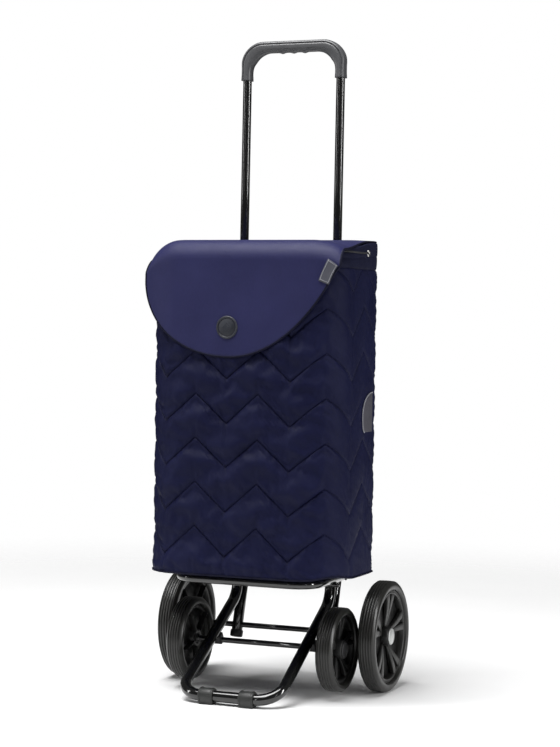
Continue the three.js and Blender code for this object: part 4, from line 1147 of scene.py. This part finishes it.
def make_bag():
    spots = columns()
    rings = []
    per_gap = 14
    for gap in range(ROWS + 1):
        for k in range(per_gap):
            u = (1 - math.cos(math.pi * k / per_gap)) / 2
            ring = []
            for s in spots:
                seams = seam_heights(s)
                z = seams[gap] + (seams[gap + 1] - seams[gap]) * u
                point, _ = bag_point(s, quilt_out(s, z, seams[gap], seams[gap + 1]))
                ring.append(Vector((point.x, point.y, z)))
            rings.append(ring)
    for height, out in COLLAR_ROWS:
        ring = []
        for s in spots:
            z = COLLAR_Z + (BAG_HIGH.z - COLLAR_Z) * height
            bulge, behind, _ = belly(s, z)
            gather = 1.0 * MM * ripple(s, 4.2, z * 0.3, 13 * MM) * min(1, 4 * height + 0.2)
            amount = out * MM * (1 - 0.5 * behind) + gather * (1 - 0.5 * behind) - 0.6 * MM * behind
            point, _ = bag_point(s, amount + bulge - collar_lean(s, height))
            top = min(BAG_HIGH.z + back_rise(point.y), flap_ceiling(point.x, point.y) - 0.2 * MM)
            z = COLLAR_Z + (top - COLLAR_Z) * height
            ring.append(Vector((point.x, point.y,
                                z + 0.6 * MM * ripple(s, 9, 0, 30 * MM) - 0.6 * MM * height)))
        rings.append(ring)
    # Lining, down to the inside of the floor.
    for z in (780, 740, 640, 540, 440, 340, 260, 235, 226):
        ring = []
        for s in spots:
            bulge, behind, _ = belly(s, z * MM)
            drape = 0.9 * MM * ripple(s, 2.5, z * MM * 0.5, 40 * MM)
            inner_lean = collar_lean(s, max(0, (z * MM - COLLAR_Z) / (BAG_HIGH.z - COLLAR_Z)))
            point, _ = bag_point(s, -6.4 * MM + bulge * 0.8 + drape - inner_lean)
            ring.append(Vector((point.x, point.y, z * MM)))
        rings.append(ring)
    floor_centre = Vector((0, (BAG_FRONT + BAG_BACK) / 2))
    for share in (0.93, 0.8, 0.6, 0.4, 0.2, 0.03):
        ring = []
        for s in spots:
            point, _ = bag_point(s, -7 * MM)
            flat = floor_centre + (point - floor_centre) * share
            ring.append(Vector((flat.x, flat.y, 221.6 * MM)))
        rings.append(ring)
    rings.reverse()
    for share in (0.985, 0.95, 0.85, 0.7, 0.5, 0.25, 0.03):
        ring = []
        for s in spots:
            z = BAG_LOW.z + 1.5 * MM
            point, _ = bag_point(s, quilt_out(s, z, z, z + 50 * MM))
            flat = floor_centre + (point - floor_centre) * share
            ring.append(Vector((flat.x, flat.y,
                                BAG_LOW.z + 0.4 * MM + (0.5 * MM + hem_rise(s)) * share ** 6)))
        rings.append(ring)
    bag = rings_mesh("quilted_bag", rings, QUILT)
    bag.data.materials.append(COLLAR_CLOTH)
    bag.data.materials.append(LINING)
    count = len(spots)
    for index, face in enumerate(bag.data.polygons):
        row = index // count
        if row < LINING_ROWS:
            face.material_index = 2
        elif row < LINING_ROWS + len(COLLAR_ROWS) - 1:
            face.material_index = 1
    settle(bag, looseness(spots, per_gap, len(rings)))
    place(bag, "frame", ["bag_shell"], fold=(BAG_LOW.z + BAG_HIGH.z) / 2)

    # The hem piping's very dark colour is partly painted shade along the bag's bottom edge.
    hem = []
    for s in spots:
        z = BAG_LOW.z + 1.5 * MM
        point, _ = bag_point(s, quilt_out(s, z, z, z + 50 * MM) + 0.6 * MM)
        hem.append(Vector((point.x, point.y, z + 0.5 * MM + hem_rise(s))))
    section = circle(1.7 * MM, 10)
    piping = ribbon("hem_piping", hem, Z, section, BINDING_AND_EDGE_SHADE, closed=True)
    place(piping, "frame", fold=(BAG_LOW.z + BAG_HIGH.z) / 2)


def make_drawstring():
    """The cord lies round the collar, from one eyelet round the front to the other."""
    z = middle("drawstring").z
    reach = FLAT_FRONT + ARC_FRONT + (middle("eyelet_right").y - BAG_FRONT - BAG_FRONT_CORNER)
    points = []
    steps = 160
    for k in range(steps + 1):
        s = reach * (2 * k / steps - 1)
        bulge, _, _ = belly(s, z)
        end = smooth(abs(s), reach - 16 * MM, reach)
        height = (z - COLLAR_Z) / (BAG_HIGH.z - COLLAR_Z)
        point, _ = bag_point(s, bulge + 3.8 * MM - 1.6 * MM * end - collar_lean(s, height))
        sway = 1.2 * MM * ripple(s, 5, 5, 30 * MM) * (1 - end)
        points.append(Vector((point.x, point.y, min(z + sway, flap_ceiling(point.x, point.y) - 2.4 * MM))))
    cord = tube("cord", points, 1.6 * MM, CORD, 12, 0.4 * MM)
    place(cord, "frame", ["drawstring"], fold=z)
    for name, side in SIDES:
        node = f"eyelet_{name}"
        spot = middle(node)
        ring = turned(f"eyelet_ring_{name}", [
            (2.6 * MM, -1.0 * MM), (2.6 * MM, 0.8 * MM), (3.2 * MM, 1.6 * MM), (4.2 * MM, 1.9 * MM),
            (5.4 * MM, 1.4 * MM),
            (6.1 * MM, 0.4 * MM), (6.1 * MM, -0.2 * MM), (5.4 * MM, -1.0 * MM)],
            (side * (BAG_HALF + 1.8 * MM), spot.y, spot.z), X * side, NICKEL, 40, closed=True)
        place(ring, "frame", [node], fold=spot.z)


def make_patches():
    for name, side in SIDES:
        node = f"side_patch_{name}"
        lowest, highest = low(node), high(node)
        spot = middle(node)
        x = BAG_HALF + 0.3 * MM
        shoulder = (lowest.y, lowest.z + 28 * MM)
        over = ((highest.y, highest.z), (highest.y - 28 * MM, highest.z - MM),
                (lowest.y, highest.z - 18 * MM), shoulder)
        under = (shoulder, (lowest.y, lowest.z + 12 * MM), (lowest.y + 4 * MM, lowest.z),
                 (lowest.y + 11 * MM, lowest.z))
        curve = ([tuple(bezier(over, k / 16)) for k in range(17)]
                 + [tuple(bezier(under, k / 8)) for k in range(1, 9)])
        outline = [(highest.y, lowest.z), *curve]
        x0, x1 = sorted((side * x, side * (x + 1.9 * MM)))
        patch = prism(f"patch_{name}", outline[::-1], x0, x1, PATCH, 0.6 * MM)
        line = [Vector((side * (x + 1.7 * MM), y, z)) for y, z in curve]
        piping = tube(f"patch_piping_{name}", line, 1.1 * MM, PIPING, 10, 0.3 * MM)
        place(join(f"patch_{name}", [patch, piping]), "frame", [node], fold=spot.z)


def make_loops():
    """Webbing loops behind the bag hold it on the handle's tubes."""
    for name, side in SIDES:
        node = f"bag_loop_{name}"
        lowest, highest = low(node), high(node)
        z = (lowest.z + highest.z) / 2
        tall = highest.z - lowest.z
        x = side * UPRIGHT_X
        half = (highest.x - lowest.x) / 2 - 0.8 * MM
        front, back = BAG_BACK + 1.4 * MM, highest.y - 0.8 * MM
        corners = [(x - half - 13 * MM, front, z), (x - half, front, z), (x - half, back, z),
                   (x + half, back, z),
                   (x + half, front, z), (x + half + 13 * MM, front, z)]
        path = rounded_path(corners, (3 * MM, 8 * MM, 8 * MM, 3 * MM), 8)
        section = [(0.7, -0.5), (0.7, 0.5), (-0.7, 0.5), (-0.7, -0.5)]
        section = [(a * MM, b * tall) for a, b in section]
        loop = bevel(ribbon(f"loop_{name}", path, Z, section, CORD), 0.3 * MM)
        place(loop, "frame", [node], fold=z)


# ------------------------------------------------------------------ flap
FLAP_HALF = high("flap").x
FLAP_TOP = high("flap").z
FLAP_OUT_Y = low("flap").y - 1.5 * MM
FLAP_BEND = 36 * MM
FLAP_THICK = 3 * MM


def bezier(points, t):
    a, b, c, d = (Vector(p) for p in points)
    u = 1 - t
    return a * u ** 3 + b * 3 * u * u * t + c * 3 * u * t * t + d * t ** 3


def flap_edge():
    """The flap's lower outline seen from the front, left to right, as (x, z)."""
    left, right = -FLAP_HALF, FLAP_HALF
    curves = [((left, .735), (left, .660), (-.115, .602), (-.018, .602)),
              ((-.018, .602), (.075, .602), (.150, .690), (right, .775))]
    points = []
    for curve in curves:
        points += [bezier(curve, k / 48) for k in range(48)]
    return points + [Vector(curves[-1][-1])]


FLAP_EDGE = flap_edge()


def edge_height(x, edge):
    """Height of the outline at x."""
    for a, b in zip(edge, edge[1:]):
        if a.x <= x <= b.x and b.x > a.x:
            return a.y + (b.y - a.y) * (x - a.x) / (b.x - a.x)
    return edge[0].y if x < 0 else edge[-1].y


def flap_point(x, v, inset=0.0):
    """Point of the flap at x, v metres from its back edge measured over the top and down the front.
    inset moves it inwards, through the cloth."""
    top, front, bend = FLAP_TOP - inset, FLAP_OUT_Y + inset, FLAP_BEND - inset
    flat = BAG_BACK - (FLAP_OUT_Y + FLAP_BEND)
    if v <= flat:
        y, z = BAG_BACK - v, top
    elif v <= flat + math.pi / 2 * FLAP_BEND:
        angle = (v - flat) / FLAP_BEND
        y, z = front + bend - bend * math.sin(angle), top - bend + bend * math.cos(angle)
    else:
        y, z = front, top - bend - (v - flat - math.pi / 2 * FLAP_BEND)
    over = smooth(v, flat - 60 * MM, flat + 50 * MM)
    shoulder = smooth(abs(x), FLAP_HALF - 62 * MM, FLAP_HALF)
    z += back_rise(BAG_BACK - v) if v <= flat else 0
    y += over * shoulder * 5 * MM
    z -= ((1 - over) * shoulder * 2 * MM
          + over * (1 - smooth(v, flat + 40 * MM, flat + 90 * MM)) * shoulder * 5 * MM)
    # The side edges droop over the shoulders of the bag, the left one more.
    reach = 48 * MM
    beyond = min(0.96 * reach, max(0, abs(x) - (FLAP_HALF - reach)))
    droop = (reach - math.sqrt(reach ** 2 - beyond ** 2)) * (0.85 if x < 0 else 0.3)
    z -= droop * smooth(v, flat - 130 * MM, flat - 5 * MM) * (1 - smooth(v, flat + 30 * MM, flat + 110 * MM))
    swell = 1.6 * MM * ripple(x, 0.3, v, 120 * MM) * smooth(v, 20 * MM, 80 * MM)
    hang = smooth(v, flat + 60 * MM, flat + 200 * MM)
    y += swell - hang * 4.5 * MM * max(0, math.cos(math.pi / 2 * x / FLAP_HALF))
    return Vector((x * (1 - 0.035 * (1 - over) - 0.02 * (1 - smooth(v, 0, 150 * MM))), y, z))


def flap_ceiling(x, y):
    """Height of the flap's underside over a point of the bag."""
    flat = BAG_BACK - (FLAP_OUT_Y + FLAP_BEND)
    inner = FLAP_BEND - FLAP_THICK
    ahead = (FLAP_OUT_Y + FLAP_BEND) - y
    if ahead <= 0:
        return flap_point(x, BAG_BACK - y, FLAP_THICK).z
    return flap_point(x, flat + FLAP_BEND * math.asin(min(1, ahead / inner)), FLAP_THICK).z


def flap_run(z):
    """Length over the top and down the front to height z."""
    flat = BAG_BACK - (FLAP_OUT_Y + FLAP_BEND)
    return flat + math.pi / 2 * FLAP_BEND + (FLAP_TOP - FLAP_BEND - z)


def make_flap():
    edge = flap_edge()
    columns_count, rows = 96, 90
    xs = [FLAP_HALF * -math.cos(math.pi * k / columns_count) for k in range(columns_count + 1)]
    top, under = [], []
    for row in range(rows + 1):
        for x in xs:
            v = flap_run(edge_height(x, edge)) * row / rows
            top.append(flap_point(x, v))
            under.append(flap_point(x, v, FLAP_THICK))
    count = len(xs)
    faces = []
    for row in range(rows):
        for k in range(count - 1):
            a, b = row * count + k, (row + 1) * count + k
            faces.append((a, b, b + 1, a + 1))
            c, d = a + len(top), b + len(top)
            faces.append((c, c + 1, d + 1, d))
    rim = [k for k in range(count)]
    rim += [row * count + count - 1 for row in range(1, rows + 1)]
    rim += [rows * count + k for k in range(count - 2, -1, -1)]
    rim += [row * count for row in range(rows - 1, 0, -1)]
    for a, b in zip(rim, rim[1:] + rim[:1]):
        faces.append((a, b, b + len(top), a + len(top)))
    flap = add_mesh("flap_cloth", top + under, faces, FLAP_CLOTH)
    flap.data.materials.append(LINING)
    for face in flap.data.polygons:
        if max(face.vertices) >= len(top):
            face.material_index = 1
    place(flap, "flap", ["flap"], fold=FLAP_TOP)

    # Binding round the free edge, from the back left corner to the back right one; its very dark colour is
    # partly the binding's own navy and partly painted shade along the edge.
    side_steps = 40
    left = [flap_point(-FLAP_HALF, flap_run(edge[0].y) * k / side_steps, FLAP_THICK / 2)
            for k in range(side_steps)]
    right = [flap_point(FLAP_HALF, flap_run(edge[-1].y) * k / side_steps, FLAP_THICK / 2)
             for k in range(side_steps)]
    lower = [flap_point(p.x, flap_run(p.y), FLAP_THICK / 2) for p in edge]
    path = left + lower + right[::-1]
    section = circle(2.1 * MM, 12)
    rings = []
    for point, tangent, normal in path_frames(path):
        side = tangent.cross(normal)
        rings.append([point + normal * a + side * b for a, b in section])
    place(rings_mesh("flap_binding", rings, BINDING_AND_EDGE_SHADE), "flap", fold=FLAP_TOP)


def make_hinge_strip():
    """A strip of cloth from the collar's back to the flap's back edge."""
    rows, count, thick = 10, 40, 1.2 * MM
    top = flap_point(0, 0).z
    bottom = BAG_HIGH.z - 12 * MM
    path = [Vector((BAG_BACK + 1.6 * MM, bottom + (top - 3 * MM - bottom) * k / (rows - 4)))
            for k in range(rows - 3)]
    path += [Vector((BAG_BACK + 0.8 * MM, top - 0.6 * MM)), Vector((BAG_BACK - 4 * MM, top + 0.9 * MM)),
             Vector((BAG_BACK - 9 * MM, top + 0.6 * MM))]
    rings = []
    for k in range(count + 1):
        x = FLAP_HALF * 0.94 * (2 * k / count - 1)
        drop = flap_point(0, 0).z - flap_point(x, 0).z
        outer = [Vector((x, p.x, p.y - drop)) for p in path]
        inner = [Vector((x, p.x - thick, p.y - drop - (thick if p.x < BAG_BACK else 0))) for p in path]
        rings.append(outer + inner[::-1])
    strip = rings_mesh("flap_hinge_strip", rings, FLAP_CLOTH)
    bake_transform(strip)


def make_badge():
    """A round badge with a raised rim and a plain raised diamond, stitched on near its edge."""
    spot = middle("flap_badge")
    run = flap_run(spot.z)
    base = flap_point(spot.x, run)
    lean = flap_point(spot.x, run + 10 * MM) - flap_point(spot.x, run - 10 * MM)
    outward = lean.cross(X).normalized()
    if outward.y > 0:
        outward = -outward
    disc = turned("badge", [
        (0, 1.5 * MM), (14.6 * MM, 1.5 * MM), (15.2 * MM, 1.1 * MM), (16.2 * MM, 1.1 * MM),
        (16.8 * MM, 1.9 * MM),
        (18.2 * MM, 2.3 * MM), (19.4 * MM, 1.9 * MM), (20 * MM, 1.0 * MM), (20 * MM, -0.6 * MM),
        (0, -0.6 * MM)],
        base, outward, BADGE, 96)
    up = (Z - outward * Z.dot(outward)).normalized()
    diamonds = []
    for size, height in ((9.5 * MM, 2.1 * MM), (5.0 * MM, 2.7 * MM)):
        rings = []
        for scale, lift in ((1.0, 1.2 * MM), (1.0, height - 0.3 * MM), (0.9, height)):
            rings.append([base + outward * lift + (X * math.cos(a) + up * math.sin(a)) * size * scale
                          for a in (math.pi / 2 * k for k in range(4))])
        diamonds.append(rings_mesh(f"diamond_{size:.3f}", rings, BADGE))
        diamonds[-1].data.shade_flat()
    stitches = []
    for k in range(44):
        angle = 2 * math.pi * k / 44
        turn = 2 * math.pi / 44 * 0.3
        ends = [base + outward * 1.35 * MM + (X * math.cos(angle + d) + up * math.sin(angle + d)) * 15.7 * MM
                for d in (-turn, turn)]
        stitches.append(tube(f"stitch_{k}", ends, 0.35 * MM, BINDING_AND_EDGE_SHADE, 8, 0.1 * MM))
    place(join("badge", [disc, *diamonds, *stitches]), "flap", ["flap_badge"], fold=FLAP_TOP)


def make_label():
    """A blank woven tab sewn on near the flap's right edge, with plain light lines."""
    spot = middle("flap_label")
    turn = 0.36
    half_wide, half_tall = 9.5 * MM, 23 * MM
    pieces = []

    def patch(name, across, along, lift, thick, material):
        rows, count = 14, 6
        rings = []
        for k in range(rows + 1):
            ring = []
            b = along[0] + (along[1] - along[0]) * k / rows
            for edge_lift in (lift, lift - thick):
                order = range(count + 1) if edge_lift == lift else range(count, -1, -1)
                for j in order:
                    a = across[0] + (across[1] - across[0]) * j / count
                    x = spot.x + a * math.cos(turn) + b * math.sin(turn)
                    z = spot.z - a * math.sin(turn) + b * math.cos(turn)
                    point = flap_point(min(x, FLAP_HALF), flap_run(z))
                    point.x = x
                    ring.append(point + Vector((0, -edge_lift, 0)))
            rings.append(ring)
        pieces.append(rings_mesh(name, rings, material))

    patch("tab", (-half_wide, half_wide), (-half_tall, half_tall), 2.4 * MM, 1.2 * MM, LABEL)
    for offset in (-0.8, 0.8):
        line = offset * half_wide
        patch(f"tab_side_{offset}", (line - 0.5 * MM, line + 0.5 * MM), (-0.93 * half_tall, 0.93 * half_tall),
              2.65 * MM, 0.6 * MM, LABEL_LINE)
    for offset in (-0.86, 0.86):
        line = offset * half_tall
        patch(f"tab_end_{offset}", (-0.8 * half_wide, 0.8 * half_wide), (line - 0.5 * MM, line + 0.5 * MM),
              2.65 * MM, 0.6 * MM, LABEL_LINE)
    place(join("woven_tab", pieces), "flap", ["flap_label"], fold=FLAP_TOP)


make_camera()
make_studio()
make_frame()
make_axles()
make_feet()
make_shelf()
make_wheels()
make_handle()
make_bag()
make_drawstring()
make_patches()
make_loops()
make_flap()
make_hinge_strip()
make_badge()
make_label()
